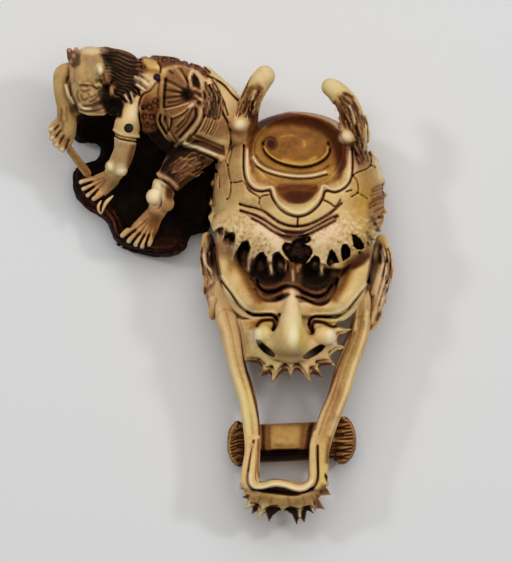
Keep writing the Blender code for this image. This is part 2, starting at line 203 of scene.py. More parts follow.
def rope(spots, radii, flat=1, steps=6):
    """A rope through paper spots, with a radius at each; flat below 1 makes it lower than wide."""
    line = smooth([(*on_plan(spot), radius) for spot, radius in zip(spots, radii)], steps)
    widest = line[:, 3].max()

    def distance(x, y, z):
        best = None
        for start, end in zip(line, line[1:]):
            along = end - start
            ax, ay, az = along[0], along[1], along[2] / flat
            px, py, pz = x - start[0], y - start[1], (z - start[2]) / flat
            t = np.clip((px * ax + py * ay + pz * az) / (ax * ax + ay * ay + az * az + 1e-9), 0, 1)
            gap = np.sqrt((px - t * ax) ** 2 + (py - t * ay) ** 2 + (pz - t * az) ** 2)
            gap = gap - start[3] - t * along[3]
            gap *= min(flat, 1) ** 0.5
            best = gap if best is None else np.minimum(best, gap)
        return best

    return line[:, :3].min(0) - widest, line[:, :3].max(0) + widest, distance


def wall(spots, low_z, high_z, round_off=0.3, steps=6):
    """An upright wall along paper spots (right, down, half width in mm) between two heights."""
    line = smooth([(*on_plan(spot[:2]), spot[2]) for spot in spots], steps)
    widest = line[:, 2].max()

    def distance(x, y, z):
        side = to_line(x, y, line)
        end = np.abs(z - (low_z + high_z) / 2) - (high_z - low_z) / 2
        a, b = side + round_off, end + round_off
        return np.minimum(np.maximum(a, b),
            0) + np.sqrt(np.maximum(a, 0) ** 2 + np.maximum(b, 0) ** 2) - round_off

    return (*(line[:, :2].min(0) - widest), low_z), (*(line[:, :2].max(0) + widest), high_z), distance


def slab(spots, low_z, high_z, round_off=0.15, lean=0):
    """What stands on a closed outline between two heights; lean draws its sides in as they rise."""
    line = np.array([on_plan(spot) for spot in spots])

    def distance(x, y, z):
        side = to_outline(x, y, spots) + (z - low_z) * lean
        end = np.abs(z - (low_z + high_z) / 2) - (high_z - low_z) / 2
        a, b = side + round_off, end + round_off
        return np.minimum(np.maximum(a, b),
            0) + np.sqrt(np.maximum(a, 0) ** 2 + np.maximum(b, 0) ** 2) - round_off

    return (*line.min(0), low_z), (*line.max(0), high_z), distance


print("the clay's grid step is", STEP, "mm")

# %% [markdown]
# ### Brushes
# A netsuke gets its finest lines from a graver, and dye stays in them. Such lines are too fine to be forms,
# so they are strokes on a map of heights seen from above, as in a height texture. A stroke can leave paint
# along itself, because the two go together on the real piece. Streaks are many strokes side by side, for
# hair and fur.

# %% Brushes
FADE = 2.4  # how many of its own widths from its line a stroke has faded out
STROKE_STEPS = 5


def smoothstep(low, high, value):
    """0 below low, 1 above high and a soft rise between."""
    t = np.clip((value - low) / (high - low), 0, 1)
    return t * t * (3 - 2 * t)


def cover(block, slices, share, paint):
    """Lays paint over what is there: a share of 1 hides it, 0 leaves it."""
    for name, value in paint.items():
        old = block.paint[name][slices]
        block.paint[name][slices] = old + (value - old) * share


def stroke(block, spots, width, height=0, **paint):
    """A soft ridge (height above 0) or groove (below 0) along paper spots, and its paint as name=amount."""
    line = smooth([(*on_plan(spot[:2]), 0) for spot in spots], STROKE_STEPS)
    reach = FADE * width
    slices, axes = block.window(line[:, :2].min(0) - reach, line[:, :2].max(0) + reach)
    if block.relief[slices].size == 0:
        return
    gap = to_line(*axes, line)
    profile = np.exp(-((gap / width) ** 2))
    block.relief[slices] += height * profile
    cover(block, slices, np.exp(-((gap / (width * 0.95)) ** 2)), paint)


def streaks(block, spots, reach, count, seed, wide=0.09, height=-0.12, **paint):
    """Many short fine strokes side by side along a line, as carved hair, up to reach mm from it."""
    rng = np.random.default_rng(seed)
    line = smooth(spots, 8)
    across = np.gradient(line, axis=0)[:, ::-1] * (1, -1)
    across /= np.linalg.norm(across, axis=1)[:, None] + 1e-9
    for _ in range(count):
        first = int(rng.uniform(0, 0.75) * (len(line) - 3))
        last = min(len(line), first + 4 + int(rng.uniform(0.1, 0.45) * len(line)))
        places = rng.uniform(-reach, reach) + np.linspace(0, rng.uniform(-0.2, 0.2), last - first)
        hair = line[first:last] + across[first:last] * places[:, None] * SQUARES
        stroke(block, hair[::2], wide, height, **paint)


print("a stroke of 0.1 mm fades out", round(0.1 * FADE, 2), "mm from its line")

# %% [markdown]
# ### Patches and noise
# Dye that was wiped over a place, or polish that took it away, has soft edges, and so have painted shade
# and painted highlights: a patch follows an outline and a wash is an oval. Smooth noise made here, with a
# seed, gives stipple and rough rock that are the same at every run.

# %% Patches and noise
def patch(block, spots, soft=0.12, height=0, **paint):
    """Paint and height inside a closed outline of paper spots."""
    x, y = np.ix_(block.axis(0), block.axis(1))
    share = smoothstep(soft, -soft, to_outline(x, y, spots))
    block.relief += height * share
    cover(block, np.s_[:, :], share, paint)


def wash(block, spot, radii, turn=0, edge=0.35, height=0, **paint):
    """Paint over a soft-edged oval of the paper, with radii in mm."""
    centre = on_plan(spot)
    reach = max(radii) * (1 + edge)
    slices, (x, y) = block.window(np.array(centre) - reach, np.array(centre) + reach)
    if block.relief[slices].size == 0:
        return
    x, y = turned(x - centre[0], y - centre[1], turn)
    gap = np.sqrt((x / radii[0]) ** 2 + (y / radii[1]) ** 2)
    amount = 1 - smoothstep(1 - edge, 1 + edge, gap)
    block.relief[slices] += height * amount
    cover(block, slices, amount, paint)


def speckle(shape, cell, seed):
    """Smooth noise over a grid with this many steps to a cell, between -1 and 1."""
    spots = np.random.default_rng(seed)
    small = tuple(int(n / cell) + 3 for n in shape)
    noise = spots.uniform(-1, 1, small).astype(np.float32)
    for which, n in enumerate(shape):
        place = np.arange(n, dtype=np.float32) / cell
        low = place.astype(int)
        part = place - low
        part = part * part * (3 - 2 * part)
        part = part.reshape([-1 if i == which else 1 for i in range(len(shape))])
        noise = np.take(noise, low, which) * (1 - part) + np.take(noise, low + 1, which) * part
    return noise


print("noise of seed 1 starts with", *np.round(speckle((8, 8), 2, 1)[0, :3], 2))

# %% [markdown]
# ## From clay to ivory
# The surface has to become a mesh. Blender could remesh voxels, but not from numbers held by a script, so
# each grid cell that the surface passes through gives one point, at the mean of its crossings, and each
# crossed grid edge one face with four corners. This keeps edges rounded, as on a worn carving.

# %% Skin
def skin(block):
    """Points in mm and four-cornered faces of the surface where the distance is zero."""
    inside = block.field < 0
    count = np.zeros([n - 1 for n in block.shape], np.uint8)
    corners = [(i, j, k) for i in (0, 1) for j in (0, 1) for k in (0, 1)]
    size = count.shape
    for i, j, k in corners:
        count += inside[i : i + size[0], j : j + size[1], k : k + size[2]]
    cells = np.argwhere((count > 0) & (count < 8))
    number = np.full(size, -1, np.int32)
    number[tuple(cells.T)] = np.arange(len(cells))
    values = {corner: block.field[tuple((cells + corner).T)] for corner in corners}
    total = np.zeros((len(cells), 3))
    crossings = np.zeros(len(cells))
    for corner in corners:
        for which in range(3):
            if corner[which]:
                continue
            other = tuple(1 if i == which else corner[i] for i in range(3))
            a, b = values[corner], values[other]
            crossed = (a < 0) != (b < 0)
            part = np.where(crossed, a / np.where(crossed, a - b, 1), 0)
            place = np.tile(np.array(corner, float), (len(cells), 1))
            place[:, which] += part
            total += place * crossed[:, None]
            crossings += crossed
    points = block.low + (cells + total / crossings[:, None]) * block.step
    faces = []
    for which in range(3):
        one, two = (which + 1) % 3, (which + 2) % 3
        near = [slice(1, -1)] * 3
        near[which] = slice(0, -1)
        ahead = list(near)
        ahead[which] = slice(1, None)
        start, end = inside[tuple(near)], inside[tuple(ahead)]
        edges = np.argwhere(start != end)
        outward = start[tuple(edges.T)]
        edges[:, one] += 1
        edges[:, two] += 1
        around = []
        for a, b in ((-1, -1), (0, -1), (0, 0), (-1, 0)):
            cell = edges.copy()
            cell[:, one] += a
            cell[:, two] += b
            around.append(number[tuple(cell.T)])
        quads = np.column_stack(around)
        quads[~outward] = quads[~outward][:, ::-1]
        faces.append(quads)
    return points, np.vstack(faces)


print("each block is thinned to at most", MOST_TRIANGLES, "triangles")

# %% [markdown]
# ### Hollows
# Stain gathers in hollows and wears off what stands out. How hollow a place is shows in how much clay lies
# around it, so the clay is blurred over a short and a long reach. The darkening in hollows is dye and also
# painted shade: a shader could find that shade with ambient occlusion, but an exported model would lose it.

# %% Hollows
NEAR, WIDE, WIDE_SOFT = 0.25, 0.9, 0.5  # mm over which the clay is blurred


def blurred(grid, reach):
    """The mean over a box that reaches this many steps each way."""
    for which in range(grid.ndim):
        pad = [(0, 0)] * grid.ndim
        pad[which] = (reach + 1, reach)
        sums = np.cumsum(np.pad(grid, pad, mode="edge"), which, dtype=np.float32)
        n = grid.shape[which]
        late = np.take(sums, np.arange(n) + 2 * reach + 1, which)
        grid = (late - np.take(sums, np.arange(n), which)) / (2 * reach + 1)
    return grid


def at_points(grid, block, points):
    """Values of a map or a grid at points in mm, blended from the nearest grid points."""
    dims = grid.ndim
    place = (points[:, :dims] - block.low[:dims]) / block.step
    place = np.clip(place, 0, np.array(grid.shape) - 1.001)
    low = place.astype(int)
    part = place - low
    total = np.zeros(len(points))
    for corner in np.ndindex(*[2] * dims):
        weight = np.prod(np.where(corner, part, 1 - part), axis=1)
        total += weight * grid[tuple((low + corner).T)]
    return total


def hollows(block):
    """How hollow the clay is at each grid point, near it and farther out: 0 on a flat, 1 deep in a crease."""
    solid = np.clip(0.5 - block.field / (2 * block.step), 0, 1)
    near = blurred(blurred(solid, max(1, round(NEAR / block.step))), 1)
    wide = blurred(blurred(solid, round(WIDE / block.step)), round(WIDE_SOFT / block.step))
    return near * 2 - 1, wide * 2 - 1


print("hollows are felt over", NEAR, "and", WIDE, "mm")

# %% [markdown]
# ### Meshes on the frame
# The clay's points and faces are put in a mesh through Blender's arrays, which is much faster than bmesh for
# so many. The paper is turned a little against the frame and counts in millimetres, so every mesh is turned
# and scaled once, when it is done.

# %% Meshes on the frame
def mesh_of(name, points, faces):
    """A Blender mesh of four-cornered faces."""
    mesh = bpy.data.meshes.new(name)
    mesh.vertices.add(len(points))
    mesh.vertices.foreach_set("co", points.astype(np.float32).ravel())
    mesh.loops.add(faces.size)
    mesh.loops.foreach_set("vertex_index", faces.astype(np.int32).ravel())
    mesh.polygons.add(len(faces))
    mesh.polygons.foreach_set("loop_start", np.arange(0, faces.size, 4, dtype=np.int32))
    mesh.update(calc_edges=True)
    return mesh


def placed(name, data):
    """A new object in the scene that shows this data."""
    made = bpy.data.objects.new(name, data)
    bpy.context.scene.collection.objects.link(made)
    return made


def settle(mesh, material):
    """Turns a mesh from the paper to the frame, in metres, smooths it and gives it its material."""
    mesh.transform(Matrix.Rotation(LEAN, 4, "Z") @ Matrix.Scale(0.001, 4))
    mesh.polygons.foreach_set("use_smooth", np.ones(len(mesh.polygons), bool))
    mesh.materials.append(material)


print("the paper is turned by", round(math.degrees(LEAN), 2), "degrees")

# %% [markdown]
# ### A piece of ivory
# A block is engraved, skinned and thinned, and every point of the mesh is told its stain and paint. They
# are stored as attributes of the points, which a material can read and an export can bake.

# %% A piece of ivory
# Creases and hollows darken from dye and also from painted shade.
CREASE_DYE_AND_SHADE, HOLLOW_DYE_AND_SHADE = 0.75, 0.6  # how much stain a sharp crease and a wide hollow take
# Pale places lighten from polish and also from painted highlights.
WEAR, POLISH_AND_HIGHLIGHT = 0.1, 0.8  # how much stain an edge loses, and a polished place
FADE_IN = 0.8  # mm of height over which the engraving sets in


def to_ivory(name, block, material, engrave_above=0, sides=None, darker=None):
    """The block's surface as an object that rides on the frame, with its stain stored at each point.

    sides gives the stain of what no stroke from above can reach, and darker is added everywhere."""
    sheet = smoothstep(engrave_above, engrave_above + FADE_IN, block.axis(2)).astype(np.float32)
    block.field -= block.relief[:, :, None] * sheet
    points, faces = skin(block)
    near, wide = hollows(block)
    mesh = mesh_of(name, points, faces)
    made = placed(name, mesh)
    if len(faces) * 2 > MOST_TRIANGLES:
        thin = made.modifiers.new("thin", "DECIMATE")
        thin.ratio = MOST_TRIANGLES / (len(faces) * 2)
        graph = bpy.context.evaluated_depsgraph_get()
        light = bpy.data.meshes.new_from_object(made.evaluated_get(graph))
        made.modifiers.clear()
        made.data = light
        bpy.data.meshes.remove(mesh)
        mesh = light
        mesh.validate()
        mesh.name = name
    places = np.empty(len(mesh.vertices) * 3, np.float32)
    mesh.vertices.foreach_get("co", places)
    places = places.reshape(-1, 3)
    normals = np.empty(len(mesh.vertices) * 3, np.float32)
    mesh.vertices.foreach_get("normal", normals)
    upward = smoothstep(-0.1, 0.35, normals.reshape(-1, 3)[:, 2])
    crease, deep = at_points(near, block, places), at_points(wide, block, places)
    # Darkening in creases and hollows: dye, and painted shade like ambient occlusion.
    stain = smoothstep(0.06, 0.5, crease) * CREASE_DYE_AND_SHADE + smoothstep(0.12, 0.62, deep) * HOLLOW_DYE_AND_SHADE
    worn = smoothstep(0.05, 0.5, -crease)
    if darker is not None:
        stain = stain + darker(places, crease, deep)
    if sides is not None:
        stain = np.maximum(stain, stain * 0.5 + sides(places) * (1 - upward))
    stain = np.maximum(stain, at_points(block.paint["stain"], block, places) * upward)
    # The pale layer lightens for polish and for painted highlights.
    stain = (stain - worn * WEAR) * (1 - POLISH_AND_HIGHLIGHT * at_points(block.paint["pale"], block, places) * upward)
    layers = {"stain": np.clip(stain, 0, 1)}
    for layer in LAYERS[1:]:
        layers[layer] = at_points(block.paint[layer], block, places) * upward
    for layer, values in layers.items():
        mesh.attributes.new(layer, "FLOAT", "POINT").data.foreach_set("value", values.astype(np.float32))
    settle(mesh, material)
    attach(made, "root")
    print(name, len(faces) * 2, "triangles carved,", sum(len(p.vertices) - 2 for p in mesh.polygons), "kept")
    return made


print("layers stored on each mesh:", *LAYERS)

# %% [markdown]
# ## The mask: brows
# Two swollen brows hang over the eyes, and their lower edge is cut into points like a fringe. They could be
# modelled as one mesh with a drawn edge; it is easier to lay round forms and then trim all of them to one
# outline. The brows come first, so that the trimming leaves alone what lies behind them. The lists are
# marks on the squared paper.

# %% Brows
mask = Block(193, 58, 402, 392, -0.3, 18.2, STEP)

for side, spot in ((-1, (256, 236, 12.2)), (1, (336, 235, 12.2))):
    mask.add(ball(spot, (5.9, 3.6, 2.9), turn=16 * side, roll=14 * side), 0.7)
mask.add(ball((296, 236, 11.6), (3.4, 2.6, 3.2)), 0.9)
BROW_RIMS = (
    [(209, 222, 6.6), (220, 233, 8.4), (233, 245, 10), (249, 256, 11.4), (270, 260, 12.4), (288, 256, 12.8),
     (292, 246, 13)],
    [(302, 246, 13), (308, 255, 12.8), (322, 263, 12.4), (336, 263, 11.4), (348, 256, 10.4),
     (359, 246, 9.2), (370, 236, 8), (381, 220, 6.8)],
)
for spots in BROW_RIMS:
    mask.add(rope(spots, [0.8, *[1.15] * (len(spots) - 2), 0.8], flat=1.9), 0.5)
BROW_OUTLINE = [
    (205, 205), (210, 222), (213.3, 232.5), (216.5, 229.5), (219.5, 227.3), (223.5, 227.5), (224, 231),
    (222, 240.5), (225.5, 235.5), (230, 232.3), (234.5, 232.8), (235.8, 236.5), (235, 242), (233.6, 249),
    (232.8, 258.5), (236, 252.5), (239, 246.5), (242.3, 242.2), (245.8, 240.5), (248.3, 241.5),
    (250.2, 246), (250.3, 251), (249, 258), (248.6, 269), (251.8, 264), (254.5, 258.5), (257.5, 254.5),
    (260.5, 252), (263.3, 252), (265.7, 254.7), (267.2, 257.5), (267.2, 263), (268.3, 268.5),
    (271.6, 272.6), (272, 265), (271.6, 258.5), (272.9, 254), (276, 251.8), (279, 251.8), (281.2, 254.4),
    (284.6, 258.8), (290.8, 262.6), (287, 256.8), (283.8, 252), (281.8, 249.5), (282, 246.5),
    (284.5, 243.8), (288, 242.8), (291.5, 245), (293, 241), (297, 238.5), (301, 238.5), (304, 236.5),
    (309, 236.5), (310.5, 240), (308.5, 243), (304, 244), (309, 246), (311.6, 249.5), (312.4, 253.5),
    (309.4, 258.2), (304, 264.7), (309.4, 261.6), (311.5, 257.8), (314, 255.6), (317, 255.8), (319.3, 258),
    (320, 262), (320, 267), (321.5, 272.8), (324.4, 268.5), (330, 269.5), (338, 269.3), (345, 266.8),
    (351, 262.5), (356, 256.5), (358.5, 250.5), (363.5, 252.8), (366.6, 247.5), (366.5, 241.5), (369, 244),
    (372, 241.5), (375.5, 240), (376.5, 234), (379.5, 231.5), (382.5, 224), (388, 205), (297, 150),
]
BROW_HOLES = (
    [(326, 263), (327.5, 257), (329, 251.8), (331, 249.5), (333.3, 251.2), (335.5, 254.8), (337, 258.5),
     (338.8, 262.8), (333, 263.5), (329, 266.5)],
    [(341.2, 246), (343, 244), (346, 243.8), (349, 247.5), (350.2, 252.5), (349.5, 257), (346.5, 259),
     (342.7, 261.5), (341, 257), (340.4, 251.5)],
    [(351.2, 233.8), (355.5, 235.6), (360, 239.3), (363.5, 244.3), (364, 248), (361, 250), (356.5, 249.3),
     (353.2, 247), (352, 241)],
)
x, y = np.ix_(mask.axis(0), mask.axis(1))
mask.field = np.maximum(mask.field, to_outline(x, y, BROW_OUTLINE)[:, :, None])
for spots in BROW_HOLES:
    mask.cut(slab(spots, 5, 20, 0.1), 0)
BROW_POINTS = (
    [(223, 230, 8.8), (222.4, 236, 8.8), (221.8, 240.6, 8.7)],
    [(234.6, 243, 10.4), (233.4, 251, 10.4), (232.6, 258.8, 10.2)],
    [(250, 254, 11.8), (249.2, 262, 11.8), (248.6, 269.6, 11.6)],
    [(269.6, 258, 12.8), (270.4, 265, 12.7), (271.7, 273, 12.4)],
    [(321.6, 262, 12.8), (321.2, 268, 12.7), (321.6, 273.4, 12.4)],
)
print("brow outline of", len(BROW_OUTLINE), "marks")

# %% [markdown]
# ### Skull, bowl and horns
# The skull is a dome with a bowl hollowed out of its crown, tipped towards the viewer, and a furry horn on
# each side. Balls that melt together make the dome without a seam, a ball taken away leaves the bowl, and
# ropes of changing thickness make the horns.

# %% Skull, bowl and horns
for spot, radii in (
    ((298, 197, 6.3), (10.75, 10.7, 9)),
    ((294, 262, 5.4), (9.5, 8.6, 7.2)),
    ((297.4, 214, 1.6), (8.6, 9, 3.4)),
):
    mask.add(ball(spot, radii), 0.9 if spot[1] > 200 else 0.35)

BOWL = ((298, 151, 12.3), (5.55, 5.45, 2.7))
BOWL_RIM = [
    (248, 146), (249, 134), (253, 124), (259, 117), (267, 112.4), (288, 111), (303, 113), (318, 117),
    (331, 123),
]
mask.cut(ball(*BOWL, pitch=-34), 0.2)
mask.cut(ball((297, 186, 15.9), (2.9, 1.75, 1.7), pitch=-12), 0.25)

HORNS = (
    ([(243, 132, 9.4), (246.4, 117, 10.6), (248.4, 108, 11.2), (252, 97.5, 12), (259.4, 84, 12.8),
      (264.6, 77, 13)], [1.9, 1.5, 1.42, 1.36, 1.36, 1.32]),
    ([(356, 150, 9.8), (354.5, 133, 11.2), (350.5, 116, 12.2), (345, 103, 12.8), (337, 93, 13.2),
      (330, 88, 13.4)], [1.55, 1.65, 1.6, 1.5, 1.3, 1.12]),
)
for spots, radii in HORNS:
    mask.add(rope(spots, radii), 0.3)
mask.add(rope([(238.6, 101, 9.8), (234.6, 110, 10.6), (233, 122, 11.2)], [0.5, 0.7, 0.7]), 0.4)
mask.add(ball((238.8, 123.6, 11.7), (1.05, 1.1, 1.2)), 0.8)
mask.add(ball((348, 136, 12.5), (1.05, 0.95, 1), turn=-25), 0.7)
mask.add(rope([(364, 118, 9.6), (366, 134, 9), (365, 150, 8.2)], [0.4, 0.5, 0.3]), 0.3)
print("mask block", mask.shape)

# %% [markdown]
# ### Locks and curls
# Under each gap of the fringe sits a round lock of hair, and between the brows a knot of small curls. Each
# is a ball with almost no blending, so that a sharp crease is left round it for the stain.

# %% Locks and curls
LOCKS = [
    ((229.5, 242, 8.6), (0.6, 0.9, 1.2), -20),
    ((244.5, 252, 10.4), (0.55, 1.15, 1.4), -12),
    ((260.8, 262.5, 11.5), (0.72, 1.1, 1.4), 0),
    ((279.5, 263.5, 12.3), (0.75, 1.2, 1.4), 12),
    ((314.6, 264.5, 12.3), (0.68, 1.1, 1.4), 0),
    ((331, 260.5, 11.4), (0.5, 0.7, 1.3), 0),
    ((345.3, 253, 10.4), (0.5, 0.85, 1.3), 0),
    ((357, 242.5, 9.4), (0.6, 0.8, 1.3), 20),
]
for spot, radii, turn in LOCKS:
    mask.add(ball(spot, radii, turn), 0.06)
for x, y, reach in (
    (287.3, 248, 0.56), (306.8, 239.6, 0.4), (307, 251.5, 0.6), (297, 246.5, 0.75), (291.5, 255.5, 0.62),
    (300.5, 257.5, 0.66), (297, 251, 0.9),
):
    mask.add(ball((x, y, 13.9), (reach, reach, 0.95)), 0.05)
print("locks", len(LOCKS))

# %% [markdown]
# ### Eyes, cheeks and lids
# The eyes are deep hollows between the brows and two wavy lids, over cheeks that swell. A carver cuts the
# hollow first and leaves the lids standing; here the hollow is a ball taken away and the lids are thin
# ropes laid in it.

# %% Eyes, cheeks and lids
mask.cut(ball((266, 275, 14.2), (2.6, 1.5, 3.2), turn=-8), 0.35)
mask.cut(ball((318.5, 277, 14.2), (2.35, 1.55, 3.2), turn=6), 0.35)
CHEEKS = (
    [(223, 238, 8.2), (225.5, 256, 9.6), (230, 272, 10.6), (239, 288, 11.4), (252, 299, 12),
     (268, 305, 12.5), (282, 306, 12.8)],
    [(366, 246, 8.2), (361, 262, 9.8), (356, 278, 10.8), (347, 292, 11.6), (334, 302, 12.1),
     (318, 309, 12.5), (304, 309, 12.8)],
)
for spots in CHEEKS:
    mask.add(rope(spots, [1.05, 1.3, 1.5, 1.75, 1.65, 1.15, 0.9], flat=0.9), 0.6)
LID_RIDGES = (
    [(256, 287, 11.8), (262, 295.5, 12.3), (271, 296.5, 12.6), (281, 292.5, 13.1), (287, 290.4, 13.4),
     (291.5, 290.6, 13.6), (296, 291.6, 13.4), (302, 295, 13), (308, 297.6, 12.8), (314, 299.6, 12.6),
     (320, 299.6, 12.4), (326, 296.4, 12.2), (331.5, 288, 11.8)],
    [(254, 279, 11.6), (260, 285.5, 12.1), (268, 287.8, 12.4), (276, 286.5, 12.8), (283, 283.6, 13.2),
     (291, 283.8, 13.5), (298, 285.6, 13.2), (304, 289.4, 12.8), (311, 292.4, 12.5), (318, 293, 12.3),
     (325, 290.2, 12.1), (331, 281, 11.7)],
)
for spots in LID_RIDGES:
    mask.add(rope(spots, [0.3] * len(spots)), 0.12)
mask.add(rope([(292.5, 264, 13), (293, 272, 13.4), (293, 280, 13.3)], [0.5, 0.42, 0.3]), 0.2)
mask.add(rope([(298.5, 265, 13), (297.5, 271, 13.2)], [0.36, 0.3]), 0.15)
mask.add(rope([(284.5, 262, 12.8), (285, 272, 12.9)], [0.4, 0.15]), 0.1)
print("lid ridges", len(LID_RIDGES))

# %% [markdown]
# ### Nose and cheek folds
# A bridge widens into a broad tip with two wings, and a thin fold runs round each cheek. One tapering rope
# and a few balls with wide blending give the nose its soft swelling without any edge between its parts.

# %% Nose and cheek folds
mask.add(rope([(291.8, 291, 13.2), (291.6, 302, 13.6), (291.2, 313, 14), (290.4, 326, 14.4),
    (290, 338, 14.5)], [0.5, 0.85, 1.15, 1.6, 1.75]), 0.9)
mask.add(ball((289.8, 338, 13.4), (2.3, 2.15, 2.3)), 0.9)
for spot, radii, soft in (
    ((275, 345, 12.6), (1.7, 1.3, 1.5), 0.9),
    ((305, 346, 12.6), (1.8, 1.3, 1.5), 0.9),
    ((263.4, 334.6, 12.9), (1.3, 1.35, 1.35), 0.45),
    ((324, 335.6, 12.9), (1.5, 1.32, 1.35), 0.5),
):
    mask.add(ball(spot, radii), soft)
mask.add(rope([(274, 352, 12), (290, 355, 11.9), (304, 354, 12)], [0.8, 1, 0.8]), 0.8)
for spots, radii in (
    ([(223, 285, 8.2), (227, 293.5, 8.6), (231.5, 302, 9.2), (237.5, 309.5, 9.8), (245, 315, 10.4),
      (253, 318, 10.9), (262, 318, 11.4), (270, 318, 11.6)],
     [0.3, 0.34, 0.36, 0.36, 0.36, 0.34, 0.3, 0.25]),
    ([(366.5, 288, 8.4), (361, 297, 9), (356.5, 304, 9.6), (352, 310.5, 10), (346, 316, 10.4),
      (340, 319.4, 10.9), (333, 320.6, 11.3), (325, 320, 11.6), (317, 319.6, 11.7)],
     [0.3, 0.34, 0.36, 0.36, 0.36, 0.36, 0.34, 0.3, 0.25]),
):
    mask.add(rope(spots, radii, flat=1.5), 0.08)
for spots in BROW_POINTS:
    mask.add(rope(spots, [0.42, 0.27, 0.1]), 0.1)
print("points that hang from the brows", len(BROW_POINTS))

# %% [markdown]
# ### Moustache plate and nostrils
# The moustache is cut from a flat step of the ivory into flames. It is made of two slabs with drawn
# outlines: a lower one that shows in the notches, where painted shade darkens it, and the pale flames on it.
# The nostrils are gouges, as ropes cut away.

# %% Moustache plate and nostrils
PLATE_LOW = [
    (236, 318), (240, 333), (242, 345), (243, 354), (244.3, 361), (251, 362.5), (258, 364), (261.5, 367.5),
    (261.3, 371.5), (257.3, 377.3), (263, 376), (267, 375.5), (271, 374), (270.3, 379), (270.8, 384.5),
    (275, 380.5), (279.5, 376.5), (284, 372), (287, 371.5), (289, 375.5), (290.7, 380.5), (292, 376),
    (294, 372), (297, 371), (301, 373.5), (306, 379.5), (311.9, 384.6), (311.2, 378.5), (311, 374),
    (316, 376), (324, 379), (320.5, 372), (319, 367), (327, 366.3), (337, 366.6), (332, 361.5),
    (331, 356.5), (335, 353), (340, 351), (346.2, 348), (340, 346), (337.5, 341), (339.5, 337),
    (344, 335.2), (353, 329), (346, 328), (340, 326), (336, 318), (297, 312),
]
PLATE_HIGH = [
    (238, 318), (241, 335), (243, 346), (244.2, 360), (252, 359), (259, 359.8), (263.5, 364), (262.4, 371),
    (257.4, 376.8), (265, 369), (271.5, 367), (272.5, 372), (271, 384), (277, 374), (281.5, 367.5),
    (285, 364.5), (288, 368), (289.8, 374), (290.7, 380), (291.7, 374), (293.5, 368), (296.5, 363.5),
    (300.5, 368), (305.5, 376), (311.8, 384), (310, 375), (311, 368), (315, 367.5), (320, 372),
    (324, 378.6), (319, 368), (317, 362), (323, 361), (331, 361.5), (337, 366), (331, 359), (330, 352.5),
    (337, 348.5), (346, 347), (338, 343.5), (336, 338.5), (338, 334), (345, 332), (353, 328.8),
    (344, 327.5), (338, 325), (336, 318), (297, 312),
]
mask.add(slab(PLATE_LOW, 8.4, 10.6, 0.25, lean=0.1), 0)
mask.add(slab(PLATE_HIGH, 9, 11.5, 0.3, lean=0.12), 0.05)
NOSTRILS = (
    [(259.4, 343, 14.4), (263.5, 347.5, 14), (268, 351, 13.6), (274.5, 355.3, 13.4)],
    [(324, 348.6, 14.2), (318, 350, 13.8), (312, 353.4, 13.6), (305.6, 358.4, 13.4)],
)
for spots in NOSTRILS:
    mask.cut(rope(spots, [0.28, 0.42, 0.44, 0.3], flat=2.6), 0.05)
print("moustache plate of", len(PLATE_LOW), "corners")

# %% [markdown]
# ### Side hair
# Beside the temples hair lies in flat strands on a lower plate. Real hair could be a particle system, but
# this is carved hair: a few ropes on a slab, with fine grooves drawn on them later.

# %% Side hair
STRANDS = (
    ([(208, 238, 6.4), (206, 252, 6.8), (207.5, 264, 7.2), (212.5, 273, 7.4)], [0.8, 0.7, 0.55, 0.35]),
    ([(204, 248, 5.8), (202.6, 260, 6.2), (205, 272, 6.6), (210, 282, 6.8)], [0.5, 0.45, 0.5, 0.4]),
    ([(382, 240, 6.4), (384, 252, 6.8), (382, 266, 7.2), (378.5, 280, 7.4), (374, 292, 7.4)],
     [0.7, 0.8, 0.6, 0.6, 0.5]),
    ([(388, 250, 6), (388.5, 264, 6.6), (385.5, 278, 7), (381, 290, 7.2)], [0.55, 0.5, 0.5, 0.6]),
    ([(391.5, 260, 5.8), (391.5, 272, 6.2), (388, 284, 6.6), (384, 297, 6.8)], [0.3, 0.35, 0.4, 0.3]),
    ([(383, 280, 7.2), (381, 296, 7.2), (378, 308, 7), (372, 322, 7)], [0.85, 0.85, 0.75, 0.5]),
    ([(380, 304, 6.4), (381, 312, 6.2), (378.5, 320, 6.2), (373, 328, 6.4)], [0.4, 0.3, 0.35, 0.3]),
    ([(213, 300, 7.4), (211.5, 312, 7), (212.5, 321, 6.4)], [0.6, 0.5, 0.15]),
    ([(207, 280, 7), (205.5, 290, 6.4), (204.5, 294, 6.2)], [0.5, 0.4, 0.2]),
)
SIDE_PLATES = (
    [(211, 232), (204, 243), (201.5, 256), (202.5, 270), (204.5, 282), (204, 294), (207, 303), (211, 312),
     (213, 321), (219, 318), (224, 300), (222, 280), (219, 262), (216, 245)],
    [(377, 238), (386, 246), (390, 255), (393.5, 262), (393.5, 270), (391, 281), (389.5, 289), (386.5, 297),
     (383, 304), (380.5, 310), (380.5, 316), (378, 322), (373, 328), (369, 336), (366, 328), (366, 308),
     (365, 290), (368, 270), (372, 250)],
)
CHEEK_PLATES = (
    [(217, 262), (221, 282), (227, 296), (235, 308), (245, 316.6), (256, 319.4), (270, 319), (280, 316),
     (285, 300), (250, 290), (230, 268)],
    [(372, 262), (367, 284), (361, 297), (352, 310.6), (343, 318.4), (333, 321), (320, 320), (305, 318),
     (300, 300), (330, 295), (357, 268)],
)
for spots in SIDE_PLATES:
    mask.add(slab(spots, 2.6, 6.4, 0.3, lean=0.05), 0.2)
for spots in CHEEK_PLATES:
    mask.add(slab(spots, 4.6, 9.4, 0.3), 0.2)
